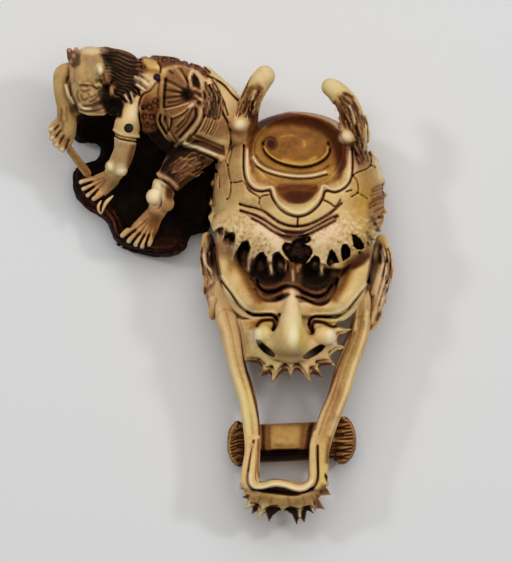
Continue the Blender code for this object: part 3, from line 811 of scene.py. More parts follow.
for spots in (
    [(220, 276, 8.2), (225, 286, 8.8), (231, 293.5, 9.3), (238.6, 304, 10), (248.4, 311.6, 10.8),
     (262, 314.6, 11.3), (274, 315.6, 11.7)],
    [(367, 286, 8.4), (358, 296, 9.3), (348, 308, 10.2), (336, 315.4, 10.9), (320, 316, 11.5),
     (311, 317, 11.8)],
):
    mask.add(rope(spots, [0.45] * len(spots)), 0.15)
for spots, radii in STRANDS:
    mask.add(rope(spots, radii), 0.12)
print("strands", len(STRANDS))

# %% [markdown]
# ### Edge of the skull
# The skull ends in a thin edge with small teeth, and its wall above is combed into upright hairs. The teeth
# are in the slabs' outlines. The hairs are a wave that runs round the middle of the skull, so one formula
# makes them all.

# %% Edge of the skull
SKULL_EDGES = (
    [(232, 150), (217.5, 157), (215, 166), (214.6, 174), (213, 178), (209.6, 182), (211.2, 187),
     (211.2, 192), (210.6, 198), (208, 203.6), (211.2, 207.4), (211.2, 210.5), (208.6, 214.6), (208.2, 218),
     (210.4, 221.5), (211.4, 226), (213, 231.6), (219, 228), (228, 222), (232, 200)],
    [(360, 150), (372, 150), (378, 158), (381.7, 169), (382.8, 176.4), (388, 181.4), (384.8, 187.4),
     (384.8, 191), (389, 194), (385.4, 199), (385.4, 206.6), (388.8, 212.8), (382.8, 215.6), (385, 222.6),
     (380.6, 223.4), (382.4, 231), (378, 234), (366, 240), (360, 200)],
)
for spots in SKULL_EDGES:
    mask.add(slab(spots, 3.4, 7.4, 0.35, lean=0.05), 0.35)
x, y, z = np.ix_(mask.axis(0), mask.axis(1), mask.axis(2))
SKULL_MIDDLE = (0, 197)
HAIRS_ROUND, HAIR_HEIGHT = 64, 0.07
angle = np.arctan2(x, y - on_plan(SKULL_MIDDLE)[1])
where = smoothstep(6, 4.8, z) * smoothstep(0.6, 1.6, z)
hair = np.cos(HAIRS_ROUND * angle + 1.3 * np.sin(0.9 * z + 5 * angle)) * where * smoothstep(4, 7, y)
mask.field += HAIR_HEIGHT * hair.astype(np.float32)
print("hairs round the skull", HAIRS_ROUND)

# %% [markdown]
# ## Engraving the mask: the bowl
# The bowl is red-brown at its rim, from dye and from painted shade on its far wall, and holds a curling
# wave. The wave is drawn with a few grooves and ridges, with a painted highlight along its pale crescent, and
# the dye is laid in patches from the rim inwards, as a carver wipes it on and polishes it off again.

# %% Bowl
# The red-brown rim is dye and painted shade on the bowl's far wall.
patch(mask, [(250, 170), (248, 150), (250, 134), (256, 121), (264, 114.6), (276, 112), (288, 112.2),
    (303, 114), (318, 117.6), (331, 123.4), (341, 132), (346, 145), (346, 165), (340, 180), (322, 186),
    (297, 184), (272, 186), (258, 182)], 0.2, stain=0.58, red=1, honey=0.5)
patch(mask, [(252, 170), (252, 152), (256, 138), (264, 128), (276, 124.6), (290, 124.4), (306, 127),
    (320, 132.6), (329, 141), (334, 152), (337, 166), (334, 182), (322, 186), (297, 186), (272, 186),
    (258, 182)], 0.62, stain=0.27, red=0, honey=0.85)
patch(mask, [(262, 135), (290, 128), (322, 136), (332, 150), (322, 160), (298, 164), (276, 160),
    (263, 150)], 0.6, stain=0.36, red=0.1)
patch(mask, [(258, 168), (270, 172), (297, 177), (320, 174), (334, 166), (336, 176), (322, 184), (297, 182),
    (272, 184), (260, 178)], 0.4, stain=0.16)
# More dye and painted shade along the far rim.
stroke(mask, [(250, 130), (254, 119), (262, 113.6), (272, 111.6), (284, 111.2)], 0.3, stain=0.55, red=1,
    honey=0.4)
stroke(mask, [(280, 111.3), (288, 111.6), (303, 113.4), (318, 117), (330, 122.5), (338, 129.5)], 0.12, 0.1,
    stain=0.2, red=0.4)
stroke(mask, BOWL_RIM[:5], 0.3, stain=0.5, red=0.8)
WAVE = [
    (263, 143), (263.6, 149), (267, 155), (273, 160), (281, 164), (291, 166.6), (302, 167.8), (313, 165.8),
    (322, 161.6), (328, 155.5), (329.6, 149), (328, 143),
]
stroke(mask, WAVE, 0.19, -0.3, stain=0.62)
stroke(mask, [(x * 0.97 + 8.5, y * 0.93 + 8.6) for x, y in WAVE[1:-1]], 0.2, 0.26, stain=0.2)
wash(mask, (271.4, 144), (0.6, 0.6), edge=0.5, height=-0.12, stain=0.7)
stroke(mask, [(264, 142), (266.6, 138.6), (271, 137.4), (275.4, 139.5), (277, 144), (275, 148.4),
    (271, 149.4)], 0.13, -0.14, stain=0.58)
stroke(mask, [(256, 156), (261, 162.5), (269, 167.6), (280, 171.2), (294, 173.6), (309, 173.2),
    (321, 170.5), (328, 166.5)], 0.15, -0.18, stain=0.5)
# Painted highlight along the wave's bright crescent.
stroke(mask, [(253, 158), (258, 165), (266, 169.8), (277, 173.4), (289, 175.6), (301, 176.4), (313, 175.4),
    (325, 172.2)], 0.2, 0.3, stain=0, pale=0.75)
stroke(mask, [(252, 156), (253.5, 163), (260, 169.5), (270, 174), (283, 177.4), (298, 179.2), (313, 178.4),
    (327, 175)], 0.14, -0.2, stain=0.55)
stroke(mask, [(281, 137), (289, 135.4), (297, 137.2), (303.5, 141), (304.5, 146)], 0.2, 0.12, stain=0.22)
for spot, radii, turn in (
    ((295, 142.5), (0.7, 0.45), -20), ((291, 152), (0.9, 0.4), 10), ((315, 143), (0.5, 1.1), -15),
    ((287, 145), (0.4, 0.5), 0), ((306, 135), (1.2, 0.4), 15),
):
    wash(mask, spot, radii, turn, edge=0.7, stain=0.42)
stroke(mask, [(284, 160), (294, 162.6), (306, 162.4), (315, 158)], 0.3, 0.12, stain=0.15)
print("marks on the wave", len(WAVE))

# %% [markdown]
# ### Collar
# A flat collar runs round the bowl and dips to a point on the forehead. A dark groove outside and a pale
# ridge inside, which carries a painted highlight, make it stand out, although it is hardly higher than the
# scalp. The dark recess under the bowl's front lip holds painted shadow and red-brown stain.

# %% Collar
COLLAR_OUT = [
    (244, 146), (243.6, 160), (243.8, 170), (245, 178), (248.5, 185.5), (254, 190.4), (261, 192),
    (266.5, 191.3), (270, 191.6), (271.4, 196.5), (275, 203.5), (280.5, 210), (288, 214.8), (297, 217),
    (305, 215.6), (312, 211.6), (318.6, 205.2), (322.6, 198), (324.8, 192), (329, 191.6), (334, 192.8),
    (340, 191), (346, 186.6), (350.4, 180), (352, 172), (352.2, 160), (351.8, 148),
]
COLLAR_RIM = [
    (247, 150), (246.2, 164), (247, 174), (250, 182), (255.6, 187.4), (263, 189.2), (269, 187.8),
    (272, 188.4), (273.6, 194), (277.6, 202), (284, 208.8), (291.6, 213), (299, 214), (306.6, 211.6),
    (313.4, 206), (318.6, 198), (321.4, 190), (322.4, 186.4), (325.6, 187), (329.4, 189.4), (334, 190.2),
    (340, 188.4), (345.4, 184), (348.8, 177), (349.8, 165), (349.8, 152),
]
stroke(mask, COLLAR_OUT, 0.15, -0.36, stain=0.8)
# Painted highlight along the collar's rim.
stroke(mask, COLLAR_RIM, 0.14, 0.24, stain=0, pale=0.7)
# Painted shadow and red-brown stain in the recess under the bowl's front lip.
wash(mask, (297, 181), (6, 0.75), edge=0.6, stain=0.24)
patch(mask, [(275, 188), (278, 185.5), (297, 184.6), (316, 185.5), (319.5, 189), (317, 194), (311, 200),
    (304, 203.6), (297, 204.6), (289, 203.4), (281.6, 199.4), (276.6, 193.6)], 0.25, stain=0.42, red=1,
    honey=0.6)
patch(mask, [(280, 195), (297, 192), (314, 194), (309, 200.6), (297, 204), (286, 201.6)], 0.4, stain=0.6,
    red=1)
stroke(mask, [(276, 194), (281, 200), (289, 204.4), (297, 205.6), (305, 204.2), (312, 200), (317.4, 193.6)],
    0.12, 0.1, stain=0.1)
stroke(mask, [(279, 205), (288, 210.4), (297, 212), (306, 210), (314, 204)], 0.34, stain=0.03, pale=0.45,
    honey=0.4)
print("marks round the collar", len(COLLAR_OUT))

# %% [markdown]
# ### Scalp and furrow
# Cracks divide the scalp into plates, and furrows run round the forehead. Beside each crack lies a faint
# ridge, so that it reads as a cut with a raised lip and not as a drawn line.

# %% Scalp and furrow
SCALP = [
    [(223.5, 120), (227, 130), (230.6, 140), (232, 150), (230, 158), (228, 166), (229, 175), (231, 183),
     (230.6, 192), (229, 198), (226.6, 199.6)],
    [(231, 183), (236.5, 182.8), (242, 181.6), (246, 185), (248.6, 190), (253, 193.5), (257.5, 196.5),
     (259.6, 200), (259, 204), (261.5, 208.6)],
    [(259.8, 198.6), (263, 196.2), (268.5, 195.4)],
    [(222, 158.8), (225.4, 161.6), (228, 166)],
    [(217, 171.5), (219.4, 178), (219.6, 187.5)],
    [(297.6, 218), (297.2, 226.5)],
    [(323.6, 200.6), (329.6, 203.6), (335, 207), (338.6, 202.4), (340, 200.4)],
    [(352.4, 176), (356.4, 180.6), (358, 187), (357.2, 193), (351, 197.2)],
    [(357.2, 193), (362.4, 196), (366.8, 199)],
    [(352.4, 176), (357, 172.8), (362, 171), (366.6, 169), (370.4, 165.4), (375.4, 167.6)],
    [(370.4, 165.4), (371.4, 160), (369, 152), (368, 144)],
    [(346, 192), (351, 190.5)], [(216, 158), (214, 166), (217, 171.5)],
]
FURROW_LOW = [
    (240.5, 211), (247, 213.2), (256, 216.4), (264, 220.8), (272, 226), (280, 230.8), (290, 232.8),
    (303, 232.8), (311, 229.8), (318, 226), (327, 220.8), (337, 216.4),
]
FURROW_RIGHT = [(335, 221), (325, 226.4), (315, 231.4), (307, 234.6), (299, 236.6)]
for line in SCALP:
    stroke(mask, line, 0.11, -0.24, stain=0.82)
    stroke(mask, [(px + 1.2, py + 1.4) for px, py in line], 0.1, 0.06)
for line, wide, deep in (
    ([(240, 204.4), (247, 206.6), (256, 208.6), (263.6, 211.6), (271, 217), (278, 222), (287, 225.6),
      (297, 226.8), (308, 225), (318, 220.8), (327, 215.4), (335, 209.4), (341, 203.6)], 0.17, 0.85),
    (FURROW_LOW, 0.17, 0.8),
    ([(252, 219), (262, 224.4), (271, 231), (280, 235.6), (290, 237)], 0.12, 0.45),
    (FURROW_RIGHT, 0.13, 0.6),
):
    stroke(mask, line, wide, -0.34, stain=deep)
stroke(mask, [(250, 211.6), (259, 214.6), (267, 218.8), (275, 224.6), (284, 228.8), (296, 230),
    (308, 228.4), (318, 223.4), (329, 217)], 0.14, 0.16, stain=0.2, pale=0.25)
patch(mask, [(264, 217), (272, 223), (281, 229), (290, 232), (303, 232), (312, 228), (322, 222), (330, 215),
    (326, 224), (314, 234), (304, 240), (292, 240), (280, 234), (270, 226)], 0.3, stain=0.42, red=0.7)
patch(mask, [(282, 233), (297, 236), (311, 232), (306, 240), (296, 241), (288, 240)], 0.3, stain=0.72,
    red=0.6)
print("cracks in the scalp", len(SCALP))

# %% [markdown]
# ### Lids
# Two wavy lids cross the dark eye hollows. The hollows are painted almost black first, then the lids get a
# worn brown, and the thin lines between them are cut last, so that they stay dark.

# %% Lids
LID_LINES = (
    ([(256.4, 281), (261, 289.4), (267, 292.4), (273, 292.2), (279, 289.8), (284, 287), (288.4, 286.4),
      (293.4, 287), (298, 289.2), (302.6, 292.4), (307, 294), (312.4, 296.2), (318, 297), (323.4, 296),
      (327.6, 292.6), (330.6, 287)], 0.2, 0.95),
    ([(255, 289), (259.4, 297.4), (265, 301), (272, 301.2), (279, 299.4), (285, 296.6), (288.6, 294.8)],
     0.17, 0.93),
    ([(296, 296.6), (303, 298.8), (309, 301.4), (314, 303.8), (319.6, 305), (325, 303.4), (329.4, 299.8),
      (333, 294), (336, 287), (337.4, 279)], 0.17, 0.93),
)
patch(mask, [(241, 260), (247, 272), (252, 281), (255, 287), (259, 295), (262, 300.4), (268, 302.4),
    (276, 301.6), (283, 299), (288.4, 294.6), (287, 284), (285.4, 272), (281, 262), (255, 258)], 0.2,
    stain=0.8)
patch(mask, [(303, 262), (300, 273), (299, 284), (298, 294), (303, 298), (310, 301.4), (316, 304.4),
    (321, 305), (327, 302.4), (332, 297), (336, 288), (339, 276), (341, 269), (322, 268)], 0.2, stain=0.8)
patch(mask, [(285, 274), (287, 262), (299, 262), (302, 274), (301, 284), (297, 289), (287, 288),
    (283, 284)], 0.35, stain=0.5)
for spots, amount in (
    ([(259, 291), (263, 296.4), (271, 296.8), (281, 292.8), (287, 290.6), (291.5, 290.8), (296, 291.8),
      (302, 295.2), (308, 297.8), (314, 299.6), (320, 299.6), (326, 296.6), (330, 291)], 0.46),
    ([(259, 284.6), (264, 287.4), (270, 287.6), (276, 286.3), (283, 283.4), (291, 283.6), (298, 285.4),
      (304, 289.2), (311, 292.2), (318, 292.6), (324, 290)], 0.52),
):
    stroke(mask, spots, 0.26, 0.02, stain=amount, red=0.4)
stroke(mask, [(284, 291.4), (291.6, 290.8), (299, 293)], 0.24, 0.05, stain=0.16)
for spots, wide, deep in LID_LINES:
    stroke(mask, spots, wide, -0.3, stain=deep)
# Painted highlights on the bridge of the nose.
stroke(mask, [(291.6, 291.5), (291.8, 294.5)], 0.24, 0.1, stain=0, pale=0.7)
stroke(mask, [(291.6, 297), (291.8, 306)], 0.3, stain=0, pale=0.4)
stroke(mask, [(292.4, 271), (293, 280)], 0.16, 0.05, stain=0.2, pale=0.15)
stroke(mask, [(297.4, 266), (297.6, 272)], 0.14, 0.05, stain=0.2)
print("lid lines", len(LID_LINES))

# %% [markdown]
# ### Cheek folds and nose
# Under the cheeks run dark cuts with a polished edge above and below them, and curls beside the nose. Stain
# in the cuts and polish on the ridges carry most of the drawing here, as on the worn original.

# %% Cheek folds and nose
FOLD_LINES = (
    ([(222, 281), (226, 286.6), (230.4, 292.2), (234.4, 298.4), (238.6, 304.4), (243.4, 309),
      (248.4, 312.2), (254, 314.6), (262, 314.8), (270, 314.8), (275, 316.6), (277.6, 320.6), (276.6, 325),
      (274.6, 328.6)], 0.15, 0.62),
    ([(248, 311.8), (254, 314.4), (262, 314.8), (270, 314.8), (274.6, 316.4), (276.8, 320)], 0.19, 0.85),
    ([(257, 326), (259.4, 322.4), (264, 320.4), (270, 320), (273.6, 321), (274.4, 325), (273, 329.4)], 0.2,
     0.86),
    ([(366, 289.6), (361.4, 292.4), (357.4, 297.6), (352.6, 303), (348, 309), (342, 313.8), (336, 316.4),
      (329, 316.6), (320, 316.2), (313.6, 316.6), (310, 319.6), (309, 324)], 0.15, 0.7),
    ([(336, 316.4), (329, 316.6), (320, 316.2), (313.6, 316.6), (310, 319.6), (308.8, 325), (311, 330),
      (312.4, 332.6)], 0.19, 0.84),
    ([(340, 322.6), (335.4, 326.4), (331.4, 326.4), (327.6, 324.8), (323.6, 322.8), (318, 321.6),
      (313.6, 322.4), (312, 326), (313, 330.6)], 0.2, 0.86),
)
for line, wide, deep in FOLD_LINES:
    stroke(mask, line, wide, -0.34, stain=deep)
for line in (
    [(222, 276), (226.4, 283.6), (231, 290), (236, 296.4), (240.4, 302.6), (245.6, 307.8), (251, 311.2),
     (257, 312.3), (265, 312), (272, 312), (277, 314)],
    [(366, 284), (361.4, 289.6), (355.6, 296.4), (350, 303.2), (344, 309), (338, 312), (330, 313.4),
     (318, 313.8), (311.6, 314.8)],
):
    stroke(mask, line, 0.14, 0.14, stain=0, pale=0.55)
for line in (
    [(225, 290), (228.6, 297), (232.4, 303.4), (237.4, 309.4), (244.4, 314.6), (252.4, 317.6),
     (258, 317.8)],
    [(365.4, 289.6), (360.4, 297), (355.4, 304.4), (350.4, 311.2), (344.6, 316), (338.6, 319.2),
     (332, 320.2)],
):
    stroke(mask, line, 0.15, 0.05, stain=0, pale=0.6)
# Painted light that lifts the shade under the nose tip.
wash(mask, (291, 354.5), (2.2, 1), edge=0.6, stain=0.12, red=0.3, pale=0.3, honey=0.7)
# Painted shade on the sides of the nose tip.
wash(mask, (299, 345), (1, 0.9), edge=0.8, stain=0.1, honey=0.6)
wash(mask, (282.6, 338), (0.8, 1.6), edge=0.8, stain=0.1)
wash(mask, (301, 330), (0.5, 1.8), edge=0.8, stain=0.14, honey=0.6)
# Painted highlights along the nose's ridge, on its tip and on the wings.
wash(mask, (291.6, 316), (1, 2.6), edge=0.7, stain=0, pale=0.5)
for spot, radii in (
    ((257.6, 338.6), (0.45, 0.5)), ((332, 340), (0.6, 0.5)), ((293, 336), (0.5, 1.2)),
    ((258, 333), (0.4, 0.5)), ((330, 334), (0.5, 0.5)),
):
    wash(mask, spot, radii, edge=0.8, stain=0, pale=1.1)
print("fold lines", len(FOLD_LINES))

# %% [markdown]
# ### Nostrils and notches
# The nostrils and the notches of the moustache lie in shade. Their outlines are filled with painted shade,
# like small shapes of ink, since light alone would not make them dark enough.

# %% Nostrils and notches
# Painted shade in the nostrils.
for spots in (
    [(256.2, 339.6), (260, 340.2), (264.6, 344.4), (270.4, 349.4), (275, 354.2), (274.4, 357), (270, 355.8),
     (264, 351.8), (259, 346.4)],
    [(324.8, 345.8), (321, 344.2), (315, 347), (308, 351.6), (302.8, 356.4), (303.6, 358.8), (308.4, 358.2),
     (315.4, 354.8), (321.4, 350.4)],
):
    patch(mask, spots, 0.1, -0.5, stain=1, red=0.4)
    patch(mask, spots, 0.1, stain=1)
# Painted shade in the notches of the moustache.
for spots in (
    [(245, 361), (252, 359.4), (259, 360.2), (263, 364), (262.4, 369.6), (259.6, 366), (252, 363.6)],
    [(263, 371), (266, 369), (271.6, 368.2), (271.4, 373), (266, 376), (260, 376)],
    [(272, 383), (277, 374), (281.5, 368), (285, 365.4), (288, 369), (289.6, 376), (286.6, 371.6),
     (283.6, 372.6), (278.6, 378)],
    [(292, 376), (293.6, 369), (296.6, 364.4), (300.4, 368.6), (305.4, 377), (311, 384), (303, 378),
     (297, 371)],
    [(311.4, 369), (315, 368.6), (320, 373), (323, 378), (316, 376), (311.4, 374)],
    [(317.4, 362.4), (323, 361.6), (332, 362.6), (332, 365.6), (319, 366.4)],
    [(331, 356), (337, 349.6), (345, 348), (340, 351), (335, 353.4)],
    [(336, 339), (338.6, 334.4), (344, 333.4), (340, 336.6), (338, 341)],
):
    patch(mask, spots, 0.07, stain=0.62)
patch(mask, [(240, 318), (250, 318), (250, 332), (251, 345), (254, 357), (246, 360), (243, 352),
    (240, 333)], 0.3, stain=0.14)
patch(mask, [(250, 320), (258, 321), (256, 327), (253, 332), (250, 328)], 0.25, stain=0.3)
print("moustache stained")

# %% [markdown]
# ### Brows
# The brows are stippled: hundreds of small pits pricked into a greyish skin. One map of smooth noise makes
# the pits, their dye and the polish between them, so that the three agree. The furrow and the knot of curls
# are stained after it, because the grey would cover them.

# %% Brow stipple
for spot, radii, turn in (((252, 238), (4.9, 2.7), -18), ((340, 237), (4.9, 2.7), 18)):
    wash(mask, spot, radii, turn, edge=0.35, grey=0.5)
PIT_SIZE, PIT_DEPTH = 0.24, 0.1
pits = speckle(mask.shape[:2], PIT_SIZE / STEP, 5)
mask.relief += PIT_DEPTH * pits * mask.paint["grey"]
mask.paint["stain"] += (
    0.06 + 1.1 * smoothstep(0.1, 1.3, -pits)
) * mask.paint["grey"] * (1 - mask.paint["stain"])
mask.paint["pale"] = np.maximum(mask.paint["pale"], 1.7 * smoothstep(0.1, 1.2, pits) * mask.paint["grey"])
# Painted highlights along the crests of the brows.
stroke(mask, [(258, 228), (268, 234), (276, 241), (278, 248)], 0.7, pale=0.6)
stroke(mask, [(332, 229), (323, 238), (315, 246)], 0.6, pale=0.5)
FURROW = [
    (245, 211), (254, 213), (263, 217), (272, 223.6), (282, 228.6), (297, 230), (309, 227.6), (320, 221.6),
    (330, 215), (338, 213), (337, 219), (327, 225), (316, 231.4), (307, 236), (304, 240), (292, 241.4),
    (284, 239.4), (275, 233), (265, 226), (255, 220), (247, 216),
]
patch(mask, FURROW, 0.15, stain=0.3, red=0.4, grey=0.1, pale=0)
patch(mask, [(276, 230), (285, 233.6), (297, 234.6), (308, 232), (304, 240), (294, 241.6), (284, 240),
    (278, 235.6)], 0.2, stain=0.5, red=0.5, grey=0.12, pale=0)
for line, wide, amount in (
    (FURROW_LOW, 0.16, 0.8),
    ([(252, 219), (262, 224.4), (271, 231), (280, 235.6), (290, 237.4), (300, 236.8)], 0.14, 0.66),
    (FURROW_RIGHT, 0.14, 0.7),
):
    stroke(mask, line, wide, stain=amount, red=0.5, grey=0, pale=0)
stroke(mask, [(248, 214.6), (257, 218.4), (266, 223.4), (274, 228.8), (284, 234)], 0.07, 0.06, stain=0.12,
    pale=0.4, grey=0)
stroke(mask, [(333, 218.6), (323, 224), (313, 229.4), (304, 234)], 0.07, 0.06, stain=0.12, pale=0.3, grey=0)
patch(mask, [(282, 245), (285, 242.4), (290, 243.4), (293, 241), (299, 239), (303.6, 236.6), (310, 236.8),
    (310.6, 241), (305, 244.4), (309.6, 246.4), (312, 251), (309.6, 258), (304, 264), (297, 262.6),
    (290, 261.6), (285, 255), (282, 250)], 0.12, stain=1, grey=0, pale=0)


def spiral(x, y, reach, turn, step, end):
    """Nine paper spots on a spiral that closes in from its reach; step is the angle between them."""
    spots = []
    for index in range(9):
        angle, size = turn + step * index, reach * (1 - index / end)
        spots.append((x + size * math.cos(angle), y + size * math.sin(angle)))
    return spots


for x, y, reach, turn in (
    (287.3, 248, 3.4, 0.5), (306.8, 239.6, 2.4, 2), (307, 251.5, 3.6, 3.4), (297.4, 250, 5.2, 5),
):
    stroke(mask, spiral(x, y, reach, turn, 0.9, 9), 0.1, -0.16, stain=0.98)
    wash(mask, (x, y), (0.16 * reach, 0.16 * reach), edge=0.5, stain=0.78)
print("pits are", PIT_SIZE, "mm apart")

# %% [markdown]
# ### Shade under the brows
# Between the points of the fringe lies deep shade with a faint lock in it, and the eye hollows are darkest
# under the brow. The gaps are filled with painted shade, which keeps them dark in any light, and each lock
# gets a painted glint.

# %% Shade under the brows
# Painted shade in the gaps of the fringe and in the brow holes.
for spots in (
    [(223, 229), (231.5, 233.4), (235, 236), (234, 245), (231.6, 242), (228, 238), (224.6, 240)],
    [(236, 255), (239.4, 247), (242.6, 242.8), (246, 241.2), (248.6, 243), (249.4, 249), (247.8, 258),
     (246.6, 268), (243, 266), (240, 262)],
    [(253.4, 267), (255.6, 260), (258.4, 255.4), (261, 252.8), (264, 253.6), (266.2, 258.4), (266.2, 266),
     (267, 270), (268, 275), (256, 274)],
    [(273.6, 273), (273.2, 259), (274, 255), (276.4, 252.8), (279.6, 253.2), (283, 258.8), (286, 262.4),
     (283, 272)],
    [(305, 264.6), (309.8, 261.6), (311.9, 258), (314.4, 256.2), (317.4, 256.8), (319.7, 261), (320.4, 271),
     (312, 276), (304, 272)],
    [(217, 230.6), (220, 228), (223.6, 228.2), (222.4, 235), (219, 234)],
    *BROW_HOLES,
):
    patch(mask, spots, 0.08, stain=0.93, grey=0, pale=0)
# Painted glints on the locks in the gaps.
for spot, radii, amount in (
    ((260.8, 267), (0.42, 0.5), 0.58), ((280.6, 267.4), (0.42, 0.6), 0.56),
    ((314.8, 266), (0.42, 0.45), 0.56), ((331, 263), (0.36, 0.4), 0.6), ((245, 258), (0.36, 0.7), 0.64),
):
    wash(mask, spot, radii, edge=0.6, stain=amount, grey=0.16)
stroke(mask, [(239, 264), (245, 275), (250, 285), (255, 294), (261, 301.6)], 0.7, stain=0.44, honey=0.8)
stroke(mask, [(349, 262), (346, 274), (341, 287), (334, 298)], 0.7, stain=0.46, honey=0.8)
# Painted shadow under the right brow.
patch(mask, [(357, 257), (360, 252), (365, 254.4), (368, 250.6), (370, 256), (363, 264), (354, 269),
    (350, 267)], 0.3, stain=0.7, red=0.8)
# Painted shade across the top of each eye hollow, under the brow.
for spots in ([(253, 272), (264, 276), (276, 276), (282, 273)], [(306, 272), (316, 279), (328, 275)]):
    stroke(mask, spots, 0.5, stain=1)
for spots in BROW_POINTS:
    stroke(mask, [spot[:2] for spot in spots], 0.22, stain=0.04, grey=0, pale=0.3)
# Among these washes, the one at (360, 258) is painted shadow under the right brow.
for spot, radii, turn, amount in (
    ((224, 172), (1.5, 5.6), 8, 0.12), ((216, 196), (1, 4), 4, 0.1), ((234, 134), (1.6, 1.8), 0, 0.4),
    ((236, 146), (1.2, 1.6), 0, 0.22), ((224, 250), (1.3, 1), -20, 0.3), ((233, 262), (0.7, 1.4), -20, 0.3),
    ((262, 307), (2.2, 0.55), 8, 0.14), ((318, 310), (1.8, 0.45), -8, 0.2),
    ((262, 204), (2.6, 1), 12, 0.17), ((222, 166), (1.6, 4.5), 8, 0.16), ((367, 180), (1.6, 2.6), -8, 0.24),
    ((362, 214), (2.6, 2.6), -20, 0.15), ((240, 176), (0.8, 2.6), 0, 0.16),
    ((372, 222), (1.5, 2.4), -30, 0.2), ((360, 258), (1.6, 0.7), 35, 0.5), ((366, 245), (0.8, 0.8), 0, 0.3),
    ((357, 148), (1.6, 1.8), 10, 0.4), ((334, 274), (0.5, 0.5), 0, 0.6), ((297, 197), (1, 0.6), 0, 0.6),
):
    wash(mask, spot, radii, turn, edge=0.75, stain=amount)
print("mean stain of the mask's paper", round(float(mask.paint["stain"].mean()), 3))

# %% [markdown]
# ### Side hair
# Carved hair is a bundle of grooves that nearly follow each other. The streaks brush draws them with a
# seed, dark ones for the cuts and a few pale ones for the worn tops between them.

# %% Grooves of the side hair
for spots in SIDE_PLATES:
    patch(mask, spots, 0.15, stain=0.5)
for spots, radii in STRANDS:
    stroke(mask, [spot[:2] for spot in spots], max(radii) * 0.55, 0, stain=0.2)
SIDE_LINES = (
    [(207, 240), (205, 256), (207, 270), (211, 284)],
    [(384, 244), (388, 258), (387, 274), (383, 290), (377, 312)],
)
for seed, spots in enumerate(SIDE_LINES):
    streaks(mask, spots, 0.8, 26, seed, 0.08, -0.14, stain=0.8)
    streaks(mask, spots, 0.8, 10, seed + 7, 0.08, 0.08, stain=0.05, pale=0.3)
for spots, wide, amount in (
    ([(211, 236), (213, 250), (214, 262), (216.4, 275)], 0.5, 0.75),
    ([(376, 246), (374.4, 260), (372.6, 272), (369.6, 282)], 0.36, 0.85),
    ([(381, 246), (380.6, 262)], 0.28, 0.8),
    ([(385.6, 258), (384.6, 268), (382.4, 276)], 0.18, 0.75),
    ([(390, 262), (389, 274), (386, 284)], 0.2, 0.72),
    ([(387.6, 287), (385.4, 293), (382.6, 296.4)], 0.2, 0.7),
    ([(371.4, 298), (371.8, 306), (370.8, 313), (369, 321)], 0.17, 0.72),
    ([(379.4, 313.6), (377.4, 316), (376.4, 319)], 0.26, 0.75),
    ([(205.6, 289), (205.4, 293)], 0.26, 0.62),
    ([(207, 248), (207, 258), (210, 266)], 0.2, 0.7),
    ([(203.4, 266), (206, 274), (210, 281)], 0.16, 0.5),
    ([(213.4, 321), (212, 323)], 0.25, 0.45),
    ([(366.6, 233), (369, 238), (372.6, 240.6)], 0.22, 0.6),
    ([(374, 224), (376, 231.6)], 0.2, 0.55),
):
    stroke(mask, spots, wide, -0.22, stain=amount)
for spots in (
    [(203.6, 254), (205.4, 263), (208.4, 268.6), (211.6, 272)],
    [(383.6, 264), (382.2, 272), (380.2, 279)],
    [(386.6, 264), (385.6, 274)], [(380, 284), (384, 283), (388, 286)],
):
    stroke(mask, spots, 0.16, 0.05, stain=0, pale=0.6)
print("side hair engraved")

# %% [markdown]
# ### Horns and polish
# The horns are covered in short fur, dark at the roots, and the right edge of the skull is ribbed. At the
# end painted highlights are laid on the bosses, ridges and horn tips, and on the side hair.

# %% Horns and polish
for spots, stain in (
    ([(250, 88), (258, 84), (262, 92), (258, 104), (256, 117), (244, 118), (238, 112), (240, 101)], 0.42),
    ([(246, 99), (256, 100), (256, 112), (252, 121), (244, 117)], 0.72),
    ([(337, 97), (346, 94), (354, 102), (360, 112), (364, 124), (366, 140), (370, 160), (360, 168),
      (352, 156), (344, 128), (338, 112)], 0.42),
    ([(341, 108), (348, 106), (354, 116), (358, 130), (360, 150), (354, 148), (348, 130), (341, 124)],
     0.66),
):
    patch(mask, spots, 0.55, stain=stain)
HORN_FUR = (
    ([(255, 88), (250, 100), (247, 110), (245, 120)], 0.95, 22, 0.6),
    ([(252, 98), (250, 110), (248, 118)], 0.6, 18, 0.85),
    ([(262, 88), (259, 98), (255, 108)], 0.25, 10, 0.45),
    ([(242, 102), (238, 112), (236, 120)], 0.5, 14, 0.5),
    ([(343, 97), (350, 104), (355, 114), (358, 124)], 0.5, 14, 0.6),
    ([(336, 99), (340, 108), (343, 118), (346, 128)], 0.7, 18, 0.55),
    ([(344, 108), (350, 118), (354, 130), (358, 142)], 0.8, 26, 0.75),
    ([(357, 138), (361, 150), (366, 162)], 0.9, 26, 0.66),
    ([(362, 116), (365, 130), (364, 146)], 0.3, 12, 0.6),
    ([(217, 150), (214, 168), (213, 186), (213, 206)], 0.35, 16, 0.4),
)
for seed, (spots, reach, count, amount) in enumerate(HORN_FUR):
    streaks(mask, spots, reach, count, seed + 20, 0.08, -0.09, stain=amount)
    streaks(mask, spots, reach, count // 3, seed + 50, 0.07, 0.07, stain=0.18)
patch(mask, [(374, 186), (384, 184), (389, 194), (386, 206), (389, 213), (384, 224), (380, 232), (368, 226),
    (366, 214), (370, 200)], 0.5, stain=0.26, red=0.5)
for index in range(13):
    y = 186 + 3.3 * index + 1.4 * math.sin(5 * index)
    start = 371 + 3 * math.sin(3 * index)
    stroke(mask, [(start, y + 4), (378, y + 2.2 * math.sin(index)), (386, y - 3)], 0.09, -0.1,
        stain=0.46 + 0.1 * math.sin(2 * index), red=0.4)
    stroke(mask, [(start + 3, y + 4.6), (385.6, y - 1)], 0.08, 0.05, stain=0.18)
stroke(mask, [(377, 162), (380, 170), (380.4, 176)], 0.3, stain=0.06, pale=0.5)
